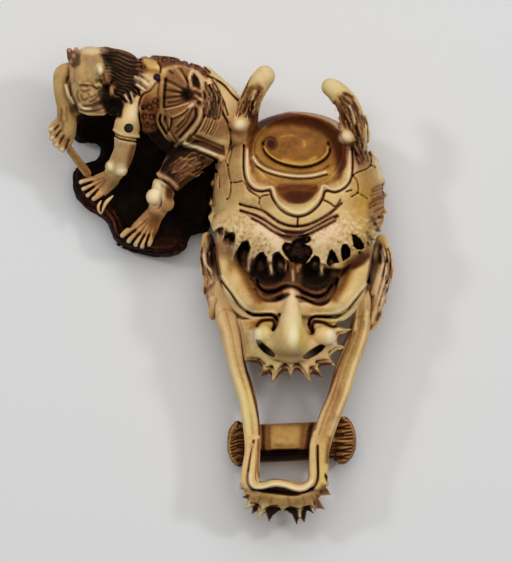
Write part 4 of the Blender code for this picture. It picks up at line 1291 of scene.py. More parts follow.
stroke(mask, [(386, 182), (383.4, 188), (382.6, 192)], 0.16, -0.1, stain=0.66)
stroke(mask, [(372, 218), (375, 226), (378, 232)], 0.2, -0.2, stain=0.6, red=0.4)
stroke(mask, [(253.4, 71), (250.4, 77), (247.6, 84), (245, 91), (241.6, 98)], 0.13, stain=0.62)
stroke(mask, [(259.6, 87), (258.2, 94), (256.6, 100)], 0.15, stain=0.5, red=0.8)
stroke(mask, [(344, 94.6), (348, 96), (352, 98.4)], 0.2, stain=0.72)
# Painted highlights along the horns' ridges.
for spots in (
    [(255, 92), (252, 100)], [(349, 107), (353, 116), (354.6, 124)], [(365.4, 126), (366, 138), (364, 150)],
    [(236, 104), (231, 116)],
):
    stroke(mask, spots, 0.15, 0.08, stain=0.1, pale=0.3)
wash(mask, (238.6, 123), (1.15, 1.1), edge=0.5, stain=0.12)
# Painted highlight on the left boss.
wash(mask, (240.6, 125.6), (0.62, 0.55), edge=0.8, stain=0, pale=1)
patch(mask, [(341, 140), (343, 130.6), (350, 130), (356, 141), (348, 144)], 0.2, stain=0.1)
# Painted highlight on the right boss.
wash(mask, (345.2, 138), (0.62, 0.5), edge=0.8, stain=0, pale=1)
# Painted highlights on the side hair and a cheek fold.
for spot, radii, turn in (
    ((213, 290), (0.6, 2.2), 0), ((379, 290), (0.7, 2.4), 8), ((374, 306), (0.4, 1.6), 0),
    ((375.6, 247), (0.35, 1.3), 0), ((343, 311), (1.3, 0.4), -35),
):
    wash(mask, spot, radii, turn, edge=0.7, stain=0.08, pale=0.35)
for spot, radii, turn in (
    ((366, 214), (1.7, 4.6), 0), ((357, 246), (1, 1.6), 30), ((367, 300), (0.9, 1.2), 0),
    ((263, 322), (1.4, 0.6), 0), ((330, 322), (1.4, 0.5), 0),
):
    wash(mask, spot, radii, turn, edge=0.7, honey=0.9)
# Painted highlights on the horn tips.
for tip in ((264, 76), (332, 86)):
    wash(mask, tip, (1, 0.9), edge=0.6, pale=0.3)
print("mask engraved")

# %% [markdown]
# ## Jaw
# Two thin planks run from the temples to the lower lip, a rolled frame, and below it the chin carries a
# beard cut into flames. The planks could be bent boards made with a curve and a profile; an upright wall
# along marks with a half width at each does the same in clay and melts into the cheek. The lip's opening is
# cut before its rim is laid.

# %% Jaw
jaw = Block(198, 262, 386, 536, -0.3, 11, STEP)
PLANKS = (
    [(219, 284, 0.5), (221, 296, 0.9), (224, 308, 1.2), (227.2, 320, 1.26), (230.8, 333, 1.14),
     (233, 346, 1.12), (235.6, 358, 1.1), (239, 372, 1.1), (243.6, 386, 1.12), (247.6, 400.5, 1.1),
     (250.4, 417.7, 1.1), (252.2, 434.9, 1.04), (252.6, 452, 1), (250.8, 468, 1.1), (250, 481, 1.2)],
    [(364, 290, 0.6), (364, 300, 0.85), (362.6, 312, 1), (361, 325, 1.05), (358, 337, 1.15),
     (353.6, 349, 1.25), (349, 361, 1.3), (345, 373, 1.32), (341, 387, 1.3), (336.6, 400.5, 1.26),
     (329.6, 417.7, 1.28), (324, 434.9, 1.22), (319.6, 452, 1.2), (318.5, 468, 1.25), (318.5, 481, 1.2)],
)
for spots in PLANKS:
    jaw.add(wall(spots[:6], 2.8, 7.7, 0.45), 0)
    jaw.add(wall(spots[3:], 2.8, 9, 0.45), 0.7)
LIP_RIDGE = [
    (255.6, 440, 8.7), (253.6, 452, 8.9), (252.6, 464, 9.1), (251.8, 474, 9.3), (252.6, 481, 9.4),
    (256.4, 485.4, 9.5), (264, 485.8, 9.5), (270, 484, 9.6), (276, 483.2, 9.6), (283, 484, 9.6),
    (290, 486, 9.6), (297, 488, 9.5), (303, 487.8, 9.5), (308.6, 484.6, 9.5), (312.4, 479, 9.4),
    (313.4, 470, 9.3), (313, 458, 9.1), (313.4, 446, 8.9), (315.6, 434, 8.7),
]
jaw.cut(slab([(260, 464), (260.4, 473), (263.4, 481), (269, 482.4), (276, 481.6), (283, 482), (291, 483.6),
    (299, 484.8), (304.6, 481.6), (307.6, 475), (308.6, 464), (308.8, 440), (312, 424), (262, 424),
    (260.6, 440)], -1, 12, 0.1), 0)
jaw.add(wall([(px, py, 0.45) for px, py, pz in LIP_RIDGE], 4, 9.1, 0.3), 0.12)
jaw.add(rope(LIP_RIDGE, [0.25, 0.35, *[0.45] * 4, *[0.42] * 8, *[0.45] * 3, 0.35, 0.25]), 0.1)
BEARD_TOP = [(326, 460), (316, 462), (313, 484), (297, 490), (264, 488), (250, 484), (250, 464)]
BEARD_LOW = [
    (244, 462), (241, 470), (240.6, 480), (239, 490), (245, 492.4), (241.2, 499), (248, 500.6),
    (243.2, 511), (251, 507.6), (251.3, 517), (257.8, 512.4), (256.8, 523), (265, 513.4), (269, 525),
    (274, 517.4), (280, 512.8), (282.5, 513.6), (286, 512.8), (291, 515.8), (297.5, 529.6), (300, 519.4),
    (305.8, 525.6), (308, 512.8), (317.3, 517.6), (312.4, 508.8), (327.5, 512.2), (319.4, 497.4),
    (333, 496), (326.4, 488.4), (330, 484.4), (325.4, 473.4), (330, 469.2), *BEARD_TOP,
]
BEARD_HIGH = [
    (244, 462), (241, 470), (242, 479), (239.2, 489.6), (250, 491), (250.6, 495), (245.6, 499.6),
    (254, 501.4), (243.8, 510.6), (254.6, 505.6), (260, 504.4), (256.8, 522.4), (261.4, 513), (265.6, 509),
    (271, 505), (278, 504.6), (281, 509), (282.5, 513.4), (284.5, 509), (290, 505.6), (296, 507.6),
    (299, 511), (299.4, 520.4), (301, 512), (303.6, 507), (309, 505.6), (313, 509), (317.3, 516.6),
    (316, 507), (314.6, 500), (313.6, 494), (318, 490.4), (325, 489.8), (332.6, 495), (326.4, 487.4),
    (324, 480), (323, 472), (329.6, 469), *BEARD_TOP,
]
jaw.add(slab(BEARD_LOW, 4.4, 6, 0.2, lean=0.1), 0)
jaw.add(slab(BEARD_HIGH, 5, 7.3, 0.35, lean=0.15), 0.05)
jaw.add(ball((284, 495, 6.6), (4.6, 1.7, 1.5)), 0.5)
print("jaw block", jaw.shape)

# %% [markdown]
# ### Log
# Behind the jaw lies a short log, smooth in the middle and like bark at its thick ends. It is a straight
# rope with a flat ball at each end, and the cord of the netsuke would pass round it.

# %% Log
log = Block(222, 408, 364, 480, -0.3, 6, STEP)
log.add(rope([(252, 444.9, 2.5), (331, 441.6, 2.5)], [2.42, 2.42]), 0)
log.add(ball((239.4, 445, 2.5), (1.45, 2.85, 2.6)), 0.1)
log.add(ball((342.4, 441, 2.5), (1.75, 3, 2.7)), 0.1)
log.cut(rope([(256, 454.8, 4.7), (313, 453.2, 4.7)], [0.42, 0.42], flat=2), 0.08)
for spots, width in (
    ([(236, 424), (231.4, 431), (229.6, 444), (231.4, 456), (237, 464)], 0.3),
    ([(343, 419.4), (350, 425), (353.8, 437), (353.4, 450), (348.4, 459), (341, 463)], 0.3),
):
    log.add(rope([(px, py, 3.2) for px, py in spots], [width] * len(spots)), 0.1)
print("log block", log.shape)

# %% [markdown]
# ### Engraving the jaw
# The planks are pale along their backs and keep dye on their flanks. The lip has a painted highlight with
# painted shadow under it, and the beard's blades have painted highlights on their lit edges and stand against
# notches of painted shade. Most of these strokes follow the planks' own marks, shifted to one side.

# %% Jaw engraving
# Painted shadow under the lower lip.
patch(jaw, [(258, 490.4), (266, 488.6), (276, 487.4), (285, 488.2), (292, 490.6), (299, 492.4), (303, 493),
    (299, 495.6), (292, 496.4), (284, 495.4), (272, 494), (262, 492.6)], 0.14, -0.25, stain=0.7, red=0.4)
stroke(jaw, [(268, 491), (276, 491.2), (286, 492.8), (296, 494.6)], 0.16, -0.15, stain=0.92)
for line, amount in (
    ([(253.6, 441), (251, 455), (248.8, 468), (247.6, 478), (249, 485.4), (253, 489.4), (260, 490.4)],
     0.72),
    ([(303, 493), (310, 490.4), (315.6, 485), (318, 476), (317.8, 460), (317.6, 446)], 0.78),
):
    stroke(jaw, line, 0.13, -0.3, stain=amount)
# Painted highlight along the lip, and on its inner strip below.
stroke(jaw, [(249.6, 474), (249.8, 482), (253, 486.4), (257.4, 488), (264, 487), (270, 485), (276, 484.2),
    (283, 485.2), (290, 487.2), (297, 489.4), (303, 489), (308, 486.4), (312, 481.6)], 0.2, 0.12, stain=0,
    pale=1.2)
stroke(jaw, [(253, 444), (251.6, 456), (250, 468), (249.4, 476)], 0.1, 0.1, stain=0, pale=0.5)
stroke(jaw, [(310.6, 444), (310, 458), (310, 472)], 0.12, 0.05, stain=0, pale=0.3)
stroke(jaw, [(258.6, 440), (258.4, 455), (257.6, 468), (259, 477)], 0.18, -0.05, stain=0.4)
EDGES = (
    [(243, 345), (244.8, 361), (247.4, 373), (250.6, 384), (254, 397), (257, 410), (259.4, 422),
     (260, 434)],
    [(352.4, 306), (351.6, 330), (350, 338), (347, 347), (343.6, 354), (340, 363), (335.6, 374), (331, 386),
     (325.6, 398), (320, 410), (314.6, 422), (310.6, 436)],
)
for line in EDGES:
    stroke(jaw, line, 0.2, -0.06, stain=0.64, red=0.7)
for spots, shift, wide, height, amount in (
    (PLANKS[0], -0.45, 0.3, 0.1, 0), (PLANKS[0], 0.1, 0.09, -0.03, 0.2), (PLANKS[1], 0, 1.3, 0, 0.2),
    (PLANKS[1], 0.62, 0.22, 0.1, 0), (PLANKS[1], -0.05, 0.09, -0.05, 0.28),
    (PLANKS[1], -0.5, 0.12, -0.04, 0.32),
):
    line = [(px + shift * 8 * half, py) for px, py, half in spots[2:-3]]
    stroke(jaw, line, wide, height, stain=amount, pale=0.45 if amount == 0 else 0)
for line in ([(357.6, 304), (356.6, 318), (355.6, 330)], [(364.6, 296), (365.6, 306), (364.6, 320)]):
    stroke(jaw, line, 0.13, 0.1, stain=0, pale=0.3)
# Painted shade in the notches, on the shaded sides of the beard's blades.
for spots in (
    [(251, 503.4), (256, 502.6), (259, 506), (257, 512), (252, 516.6)],
    [(265.4, 510.4), (270, 505.8), (277, 504.6), (281, 509.6), (280.4, 512.6), (274, 517.4), (269.4, 525),
     (267, 515)],
    [(284.4, 510), (289.6, 505.8), (295, 507.8), (299, 513), (299.2, 521), (297.6, 529), (293.6, 520),
     (289.6, 514), (285, 512.4)],
    [(301, 513), (304, 507.4), (309, 506), (313.4, 510), (317, 516.6), (312, 514.4), (308, 512.4),
     (306, 525), (301.4, 519)],
    [(315, 493.6), (319, 497), (323, 504), (327.4, 512), (319.6, 510.6), (316.6, 503)],
    [(319.6, 491), (326.6, 490.8), (332.6, 495.6), (326, 494.6), (319.6, 494.6)],
    [(242, 498.6), (248, 494.6), (250.6, 496), (248.6, 500)],
    [(325.4, 473), (328, 478), (329.6, 484), (326.6, 481.6), (324.4, 476)],
):
    patch(jaw, spots, 0.09, -0.1, stain=0.82)
patch(jaw, [(246, 496), (262, 494.6), (284, 497.4), (304, 496), (316, 494), (322, 503), (310, 505),
    (297, 506), (283, 507.6), (270, 504), (254, 503)], 0.4, stain=0.22)
patch(jaw, [(322, 484), (331, 486), (334, 496), (322, 495), (328, 512), (317, 517), (315, 502), (318, 490)],
    0.4, stain=0.46)
# Painted shade where the right plank meets the log.
stroke(jaw, [(336, 416), (331, 434), (328, 448), (327, 462)], 0.3, stain=0.36)
for spots, shift in ((PLANKS[0], -0.1), (PLANKS[1], 0.4)):
    stroke(jaw, [(px + 8 * shift * half, py) for px, py, half in spots[2:]], 0.5, honey=0.45)
# Painted highlights on the lit edges of the beard's blades.
for spots in ([(264, 508), (259.6, 516)], [(253.6, 505), (247, 509)], [(299.6, 511), (299.8, 517)]):
    stroke(jaw, spots, 0.14, 0.1, stain=0, pale=0.5)
for spots in (
    [(260, 498), (257, 506)], [(272, 499), (270, 504)], [(288, 498), (289, 504)], [(303, 498), (305, 504)],
    [(312, 496), (315, 506)],
):
    stroke(jaw, spots, 0.14, -0.1, stain=0.3)
print("mean stain of the jaw's paper", round(float(jaw.paint["stain"].mean()), 3))

# %% [markdown]
# ### Engraving the log
# Bark is a set of grooves that run round the ends, so a loop draws them with a wave in their course. The
# middle is left smooth, with a band of painted shadow under the jaw's lip and painted shade beside the
# planks.

# %% Log engraving
patch(log, [(200, 400), (380, 400), (380, 490), (200, 490)], 0.1, stain=0.1, honey=0.5)
for spots in (
    [(220, 412), (246, 412), (246, 478), (220, 478)],
    [(328, 412), (372, 412), (372, 478), (328, 478)],
):
    patch(log, spots, 0.3, stain=0.46)
for index in range(15):
    y = 417 + 3.3 * index
    wave = 1.2 * math.sin(2.7 * index)
    end = 352.4 - 0.014 * (y - 441) ** 2
    stroke(log, [(330, y + 0.6), (341, y + wave), (end, y - 0.8)], 0.09, -0.18, stain=0.84)
    stroke(log, [(344 + wave, y + 1.6), (end + 0.4, y + 0.9)], 0.1, 0.12, stain=0.22)
    start = 231 + 0.014 * (y - 445) ** 2
    stroke(log, [(start, y + 5), (238, y + 2.4 + wave), (246, y + 2)], 0.09, -0.18, stain=0.84)
    stroke(log, [(start, y + 6.4), (236, y + 4.4)], 0.08, 0.1, stain=0.3)
for spots, amount in (
    ([(334, 440.6), (343, 442), (352, 442.4)], 0.2),
    ([(237, 424), (231.4, 431), (229, 444), (231, 457), (237, 465)], 0.22),
    ([(343, 418.6), (350.6, 424.6), (355, 437), (354.4, 450), (348.6, 460), (340, 463)], 0.3),
):
    stroke(log, spots, 0.17, 0.1, stain=amount)
stroke(log, [(340, 467), (349, 463), (356, 450), (357.6, 438)], 0.35, stain=0.42)
# Painted shadow of the jaw's lip in the slot under it.
patch(log, [(256, 450.4), (313, 448.6), (313, 461.4), (284, 462.6), (256, 464.6)], 0.08, stain=0.9)
stroke(log, [(256, 455.2), (313, 453.6)], 0.36, stain=1)
stroke(log, [(256, 463), (284, 462), (313, 461)], 0.25, stain=0.62)
# The upright bands beside the planks and the bands along the log's top edge are painted shade.
for spots, wide, amount in (
    ([(263.4, 418), (263.4, 450)], 0.34, 0.74),
    ([(268.4, 418), (268.4, 450)], 0.4, 0.4),
    ([(314, 418), (310, 432), (307, 450)], 0.42, 0.8),
    ([(304, 424), (302, 448)], 0.5, 0.36),
    ([(268, 425), (290, 422.6), (308, 423.6)], 0.4, 0.34),
    ([(262, 420.4), (312, 418.4)], 0.22, 0.5),
    ([(276, 446), (286, 447), (298, 446)], 0.3, 0.24),
):
    stroke(log, spots, wide, stain=amount)
x, y, z = np.ix_(log.axis(0), log.axis(1), log.axis(2))
LOG_MIDDLE = (0, 443)
FURROWS_ROUND, FURROW_DEPTH = 19, 0.06
angle = np.arctan2(z - 2.5, y - on_plan(LOG_MIDDLE)[1])
bark = smoothstep(4.6, 5.3,
    np.abs(x + 0.7)) * np.cos(FURROWS_ROUND * angle + 1.4 * np.sin(2.3 * x + 2 * angle))
log.field += FURROW_DEPTH * bark.astype(np.float32)
print("furrows round the log", FURROWS_ROUND)

# %% [markdown]
# ## The demon: body and bundle
# He is bent double, seen on his back, with a bundle tied on it. Thick ropes that melt together make the
# back, the hips and the skirt; the bundle is two balls, and its knot and cords are thin ropes laid on top
# with sharp creases.

# %% Demon's body and bundle
demon = Block(44, 40, 262, 262, 2, 18.5, STEP)
for spots, radii in (
    ([(146, 80, 11.4), (168, 86, 11.6), (198, 106, 11)], [2.9, 3.7, 4]),
    ([(196, 96, 10.6), (214, 106, 10.4)], [3.9, 3.2]),
    ([(204, 114, 9.6), (220, 130, 8.6)], [3.6, 2.6]),
    ([(212, 88, 10.8), (227, 101, 10.2), (234, 114, 9.4)], [1.3, 1.3, 0.9]),
    ([(188, 144, 9), (204, 150, 8.8), (222, 155, 8.4)], [0.9, 1, 0.9]),
    ([(152, 98, 11.4), (152, 112, 11), (149, 126, 10)], [1.9, 1.6, 1]),
):
    demon.add(rope(spots, radii), 0.9)
demon.add(ball((180, 99, 13.3), (2.6, 4, 2.7), turn=12), 0.5)
demon.add(ball((181, 124, 12), (2.2, 2.7, 2.5), turn=20), 0.5)
demon.add(ball((190, 96, 15.4), (0.8, 0.75, 0.8), turn=30), 0.25)
LOOPS = (
    ([(193, 90, 15.4), (190, 80, 15.3), (193, 72, 14.8), (198.6, 77.5, 14.5), (202.2, 86, 14.2),
      (203.4, 91.5, 14)], [0.4, 0.42, 0.4, 0.42, 0.45, 0.35]),
    ([(195.6, 89.7, 15.2), (199, 92, 14.8), (202.6, 93.6, 14.4)], [0.45, 0.45, 0.3]),
    ([(196, 97, 15.3), (200, 100, 14.8), (204, 102.2, 14.2)], [0.45, 0.5, 0.3]),
    ([(195.8, 102.6, 15.2), (193, 105.6, 15), (189.8, 108.2, 14.6)], [0.4, 0.42, 0.25]),
    ([(196, 105.5, 15), (201, 111.2, 14.2), (199.8, 118.6, 13.7), (194, 128, 13.2), (185, 138, 12.4),
      (176, 146, 11)], [0.35, 0.46, 0.46, 0.46, 0.42, 0.3]),
    ([(176, 68.6, 14.5), (168, 70.6, 14.3), (164.4, 79, 14.3), (162.5, 90, 14.4), (161.5, 102, 14.3),
      (162.5, 111.4, 13.8)], [0.25, 0.36, 0.38, 0.38, 0.36, 0.3]),
    ([(162, 111, 13.7), (158.4, 118, 13), (158.8, 124.4, 12.5), (165, 135.5, 11.4), (170, 141, 10.6)],
     [0.3, 0.3, 0.3, 0.3, 0.25]),
    ([(163.6, 114, 13.6), (162.4, 121, 13), (166, 129, 12.4), (171, 136, 11.6)], [0.25, 0.25, 0.25, 0.2]),
)
for spots, radii in LOOPS:
    demon.add(rope(spots, radii), 0.12)
print("cords and loops", len(LOOPS))

# %% [markdown]
# ### Head and hair
# A small horned head at the left, in shade, with wild hair blown back over the shoulder. Overlapping balls
# give the brow, cheeks and jaw; the hair is a slab with a ragged outline and a few tapering locks at its
# edge.

# %% Demon's head and hair
for spot, radii, turn in (
    ((89, 71, 13.3), (2.45, 2.95, 2.6), -8), ((87.4, 93, 12.9), (2, 2.2, 2.2), 0),
    ((95, 61, 13.9), (1.6, 1.5, 1.9), 0), ((87, 104, 12.7), (1.2, 0.9, 1.5), 0),
    ((97, 107.6, 12), (1.95, 0.85, 1.2), -6),
    ((106, 97, 12.2), (1.1, 1.5, 1.5), 0),
):
    demon.add(ball(spot, radii, turn), 0.5)
for spot, radii, turn in (
    ((101.4, 71.8, 15.5), (0.46, 0.72, 0.85), 12),
    ((106.6, 77.6, 14.3), (0.8, 1.1, 1.3), 0),
    ((112.6, 90, 13.2), (0.55, 1, 0.8), -16),
    ((85.6, 90.6, 14.8), (0.75, 0.5, 0.5), 14),
    ((84.4, 99.6, 14.3), (0.6, 0.5, 0.6), 0),
    ((80.6, 96, 13.9), (0.5, 0.7, 0.6), -10),
    ((92.6, 95.6, 14.4), (0.6, 0.7, 0.6), 16),
    ((98, 86, 14.8), (0.7, 0.45, 0.5), -24),
    ((76.4, 88, 13.6), (0.5, 0.8, 0.7), -14),
    ((97, 99, 13.9), (0.55, 0.8, 0.6), 24), ((88, 83.6, 15.3), (1.1, 0.4, 0.4), 4),
):
    demon.add(ball(spot, radii, turn), 0.16)
for spots, radii in (
    ([(80, 66, 14.4), (74.6, 61, 15), (70.4, 52, 15.2)], [0.8, 0.7, 0.35]),
    ([(80, 64, 14.6), (77.6, 56, 15.2), (77.4, 50.6, 15.2)], [0.6, 0.5, 0.3]),
    ([(66.6, 86, 13), (69.6, 96, 12.9), (74.2, 105, 12.4)], [0.22, 0.32, 0.16]),
    ([(79.6, 105, 13.6), (84.4, 109.4, 13.8), (92.4, 109.6, 13.6), (97, 107, 13.4)],
     [0.14, 0.22, 0.22, 0.14]),
    ([(81, 110.6, 12.8), (90, 113.4, 12.6), (104, 113.6, 12)], [0.3, 0.34, 0.3]),
):
    demon.add(rope(spots, radii), 0.12)

HAIR_OUTLINE = [
    (99, 48.4), (107, 47.5), (119, 50.4), (128, 53.6), (135, 56.5), (139, 61), (137, 68), (142, 75),
    (147, 83), (141.4, 84), (144.6, 89.6), (138, 88), (135.6, 93), (133.6, 100.4), (129, 97), (130, 102.6),
    (124, 98.6), (118, 95), (115, 88), (112.4, 78), (111, 68), (106, 61), (100, 55),
]
demon.add(slab(HAIR_OUTLINE, 10, 14.4, 0.9), 0.25)
demon.add(ball((121, 68, 13.2), (1.9, 1.9, 2.2), 20), 0.7)
demon.add(ball((130, 80, 13), (1.6, 2.1, 2.2), -20), 0.7)
for spots in (
    ((135, 74, 14.4), (141, 78, 14.2), (147.6, 83.6, 13.8)),
    ((132, 78, 14.4), (138, 85, 14.2), (144.8, 90, 13.6)),
    ((127, 84, 14.2), (131, 94, 14), (133.6, 101.4, 13.2)),
    ((122, 84, 14), (126, 95, 13.6), (129.6, 103, 12.8)),
):
    demon.add(rope(spots, [0.75, 0.5, 0.12]), 0.15)

for spots, radii in (
    ([(70.6, 66, 11.4), (70.4, 84, 11.4), (72, 98, 11.2), (77, 112, 10.8)], [0.5, 0.5, 0.5, 0.5]),
    ([(108, 84, 12), (113, 96, 11.6), (121, 104, 11.2), (114, 108, 10.6)], [1, 1.2, 1.1, 1]),
    ([(150, 118, 10.4), (158, 132, 9.4), (168, 142, 9.2)], [1.3, 1.2, 1.2]),
):
    demon.add(rope(spots, radii), 0.2)
print("hair outline of", len(HAIR_OUTLINE), "marks")

# %% [markdown]
# ### Arms
# One thin arm ends in a fist on a staff, the other comes out of a wide sleeve and presses its hand on the
# rock. Limbs are ropes whose radius changes from mark to mark, with small balls for the bones of wrist and
# knuckles.

# %% Arms
ARM = [
    (72, 70, 11.4), (62.6, 73.5, 11.7), (60, 84, 11.6), (61.6, 96, 11.3), (65, 108, 10.9),
    (66.6, 120, 10.3), (64.6, 130, 9.6),
]
demon.add(rope(ARM, [1, 0.95, 0.82, 0.82, 1, 1.22, 1.25]), 0.3)
FIST = [
    (58, 116), (52.6, 121.4), (48.2, 127), (48.4, 132.6), (50, 138), (51.4, 143), (55, 147.6), (59, 150.4),
    (63.4, 152.4), (68, 150), (72, 144), (75.4, 136), (76.6, 124), (76, 112),
]
demon.add(slab(FIST, 6.8, 9.9, 1.1), 0.4)
for spot, turn in (
    ((52.4, 129, 9.2), 30), ((53.6, 137.6, 9.1), 10), ((57.4, 144.8, 9), -24), ((62.6, 148.6, 9), -50),
):
    demon.add(ball(spot, (0.56, 0.44, 0.62), turn), 0.12)
demon.add(rope([(62, 140, 8.3), (68.4, 148.4, 7.6), (86.4, 172.4, 5.2)], [0.45, 0.5, 0.54]), 0.05)
demon.add(rope([(142, 90, 12.2), (135, 104, 12.3), (131, 113, 12.2), (128, 124, 11.9)],
    [1.5, 1.15, 1.2, 1.6]), 0.5)
demon.add(ball((127.6, 131, 11.5), (1.78, 1.5, 1.95), 8), 0.35)
demon.add(rope([(126, 138, 11), (124.4, 150, 9.8), (119.6, 162, 8.4), (114, 171, 7.2)],
    [1.42, 1.3, 1.3, 1.1]), 0.25)
demon.add(ball((110.8, 166.2, 8.4), (0.72, 0.8, 0.8), -20), 0.12)
demon.add(ball((120.8, 170, 8.5), (0.84, 0.84, 0.85)), 0.12)
demon.add(slab([(106, 170), (121, 173), (118, 183), (111, 190), (104.6, 195.4), (98, 193.4), (93, 188.4),
    (89.4, 183), (88.4, 178), (97, 173.6)], 3, 5.9, 0.9), 0.5)
demon.add(rope([(114, 173, 6.8), (106, 180, 5.6)], [1.05, 1]), 0.5)


def toes(block, roots, tips, radius, height):
    """Toes from their roots to rounded tips."""
    for (x, y), (tip_x, tip_y) in zip(roots, tips):
        middle = ((x + tip_x) / 2, (y + tip_y) / 2, height + 0.35)
        block.add(rope([(x, y, height + 0.3), middle, (tip_x, tip_y, height - 0.35)],
            [radius * 1.1, radius, radius * 0.85]), 0.07)


FRONT_TIPS = [(80.4, 181.8), (83, 188.4), (87.2, 194.8), (93, 198.4)]
BACK_TIPS = [(122, 235.2), (128.4, 240.6), (135.4, 244), (141.6, 245.8), (148.6, 243.8)]
toes(demon, [(91, 179.4), (92, 185), (95.4, 190), (100, 193.4)], FRONT_TIPS, 0.36, 5.2)
demon.add(rope([(112.6, 195.4, 5.2), (107, 200.6, 5.3), (103.8, 205.6, 5.2), (101, 213.4, 4.8)],
    [0.1, 0.24, 0.2, 0.08]), 0.02)
demon.add(rope([(100.6, 200.4, 5.2), (98, 205, 5.3), (97.8, 209.6, 5.1), (100, 213.6, 4.8)],
    [0.1, 0.18, 0.16, 0.08]), 0.02)
print("front toes", len(FRONT_TIPS))

# %% [markdown]
# ### Leg and foot
# The back leg comes out of a rough trouser: shin, ankle bones and a bare foot. The foot is a slab with a
# soft rim, and the same function as for the hand sets its toes.

# %% Leg and foot
demon.add(rope([(206, 142, 7.6), (188, 158, 8.6), (171, 178, 8.2)], [2.3, 2.4, 1.75]), 0.5)
demon.add(rope([(164, 186, 7.6), (161, 198, 6.9), (158, 208, 6.4)], [1.5, 1.4, 1]), 0.12)
demon.add(ball((153.8, 196.8, 8), (1, 1.05, 1.1)), 0.12)
demon.add(ball((167.2, 203.2, 7.6), (0.86, 1, 1)), 0.12)
demon.add(slab([(150, 206), (168, 210), (160.6, 221), (157, 231), (152.6, 238.6), (147, 240.4),
    (140, 239.6), (132.6, 236.4), (126.6, 232), (133, 223), (141, 214.6)], 2.6, 5.6, 0.9), 0.5)
demon.add(rope([(158, 207, 6.4), (151, 217, 5.4)], [1, 0.9]), 0.6)
toes(demon, [(127.6, 231), (132.6, 235), (138, 237.6), (143.6, 239), (150, 237.6)], BACK_TIPS, 0.4, 5)
print("demon block", demon.shape)

# %% [markdown]
# ## Engraving the demon: head and hair
# His hair is wavy, so each strand is a line between two edges of the lock with a sine in its course, and
# every third one is a pale ridge. The face lies in shade and is mostly painted shade, with a few painted
# highlights.

# %% Engraving of head and hair
patch(demon, [(64, 44), (112, 44), (116, 96), (112, 116), (80, 116), (66, 100)], 0.5, stain=0.18, grey=0.28)
patch(demon, HAIR_OUTLINE, 0.35, stain=0.74, grey=0.03)
patch(demon, [(112, 48), (124, 50), (136, 56), (140, 62), (132, 68), (120, 62)], 0.4, stain=0.6, grey=0.06)
chance = np.random.default_rng(11)
for index in range(36):
    t = index / 35
    start = np.array((101, 50)) * (1 - t) + np.array((114, 92)) * t
    end = np.array((141, 58)) * (1 - t) + np.array((128, 103)) * t + np.array((8, 4)) * math.sin(math.pi * t)
    line = []
    for step in range(8):
        part = step / 7
        sway = 1.3 * math.sin(10 * part + 6 * t + chance.uniform(-0.4, 0.4))
        spot = start * (1 - part) + end * part + np.array((0.3 * sway, sway))
        line.append(tuple(spot + chance.uniform(-0.3, 0.3, 2)))
    if index % 3:
        stroke(demon, line, 0.08, -0.14, stain=0.9)
    else:
        stroke(demon, line[index % 4 : 5 + index % 4], 0.06, 0.08, stain=0.5)
for spots in (
    [(137, 75), (143, 78.4), (149, 83)], [(137, 82.6), (141.4, 85), (146, 89.4)],
    [(136, 88), (139, 92), (140, 96)], [(130, 94), (131.6, 100), (131.6, 104)],
):
    stroke(demon, spots, 0.17, -0.3, stain=0.88)
for spots in (
    [(136, 78.4), (141, 81.4), (147.4, 86.2)],
    [(137.6, 86.2), (141, 88), (144.8, 91)], [(131.6, 94), (133.6, 101)], [(126, 96), (129.4, 102.6)],
):
    stroke(demon, spots, 0.13, 0.12, stain=0, pale=0.9)
patch(demon, [(68, 48), (74, 49), (81, 52), (81, 66), (75, 69), (69, 64), (67, 55)], 0.2, stain=0.66, red=0.3)
for x, y in ((70.6, 51.6), (75.4, 50.6), (75, 57), (72, 63)):
    wash(demon, (x, y), (0.22, 0.28), edge=0.8, stain=0.15)
wash(demon, (94, 67.4), (0.7, 0.9), edge=0.8, stain=0.3, grey=0.9)
# Painted highlights on the forehead and the right horn.
wash(demon, (92, 52), (1.5, 0.45), edge=0.7, stain=0.05, pale=0.4)
wash(demon, (100.8, 70.6), (0.4, 0.6), edge=0.7, stain=0, pale=0.9)
patch(demon, [(104.4, 70), (110, 72), (111.6, 80), (108, 86), (104, 82)], 0.25, stain=0.3, red=0.6, grey=0.1)
# Painted shade between the head, the hair and the arms, and under the chin.
for spots, soft, stain in (
    ([(105.6, 84), (111, 84), (113, 96), (111, 107), (104, 109), (101, 100), (103, 92)], 0.3, 0.8),
    ([(67.6, 66), (70, 66), (70, 84), (73, 97), (78.6, 109), (80, 116), (75, 112), (69.6, 100), (67, 84)],
     0.2, 0.66),
    ([(106, 108), (114, 104), (124, 103), (122, 118), (108, 118)], 0.25, 0.93),
    ([(107, 92), (113, 97), (122, 99), (124, 106), (118, 114), (106, 112), (104, 104)], 0.25, 0.93),
):
    patch(demon, spots, soft, stain=stain, grey=0)
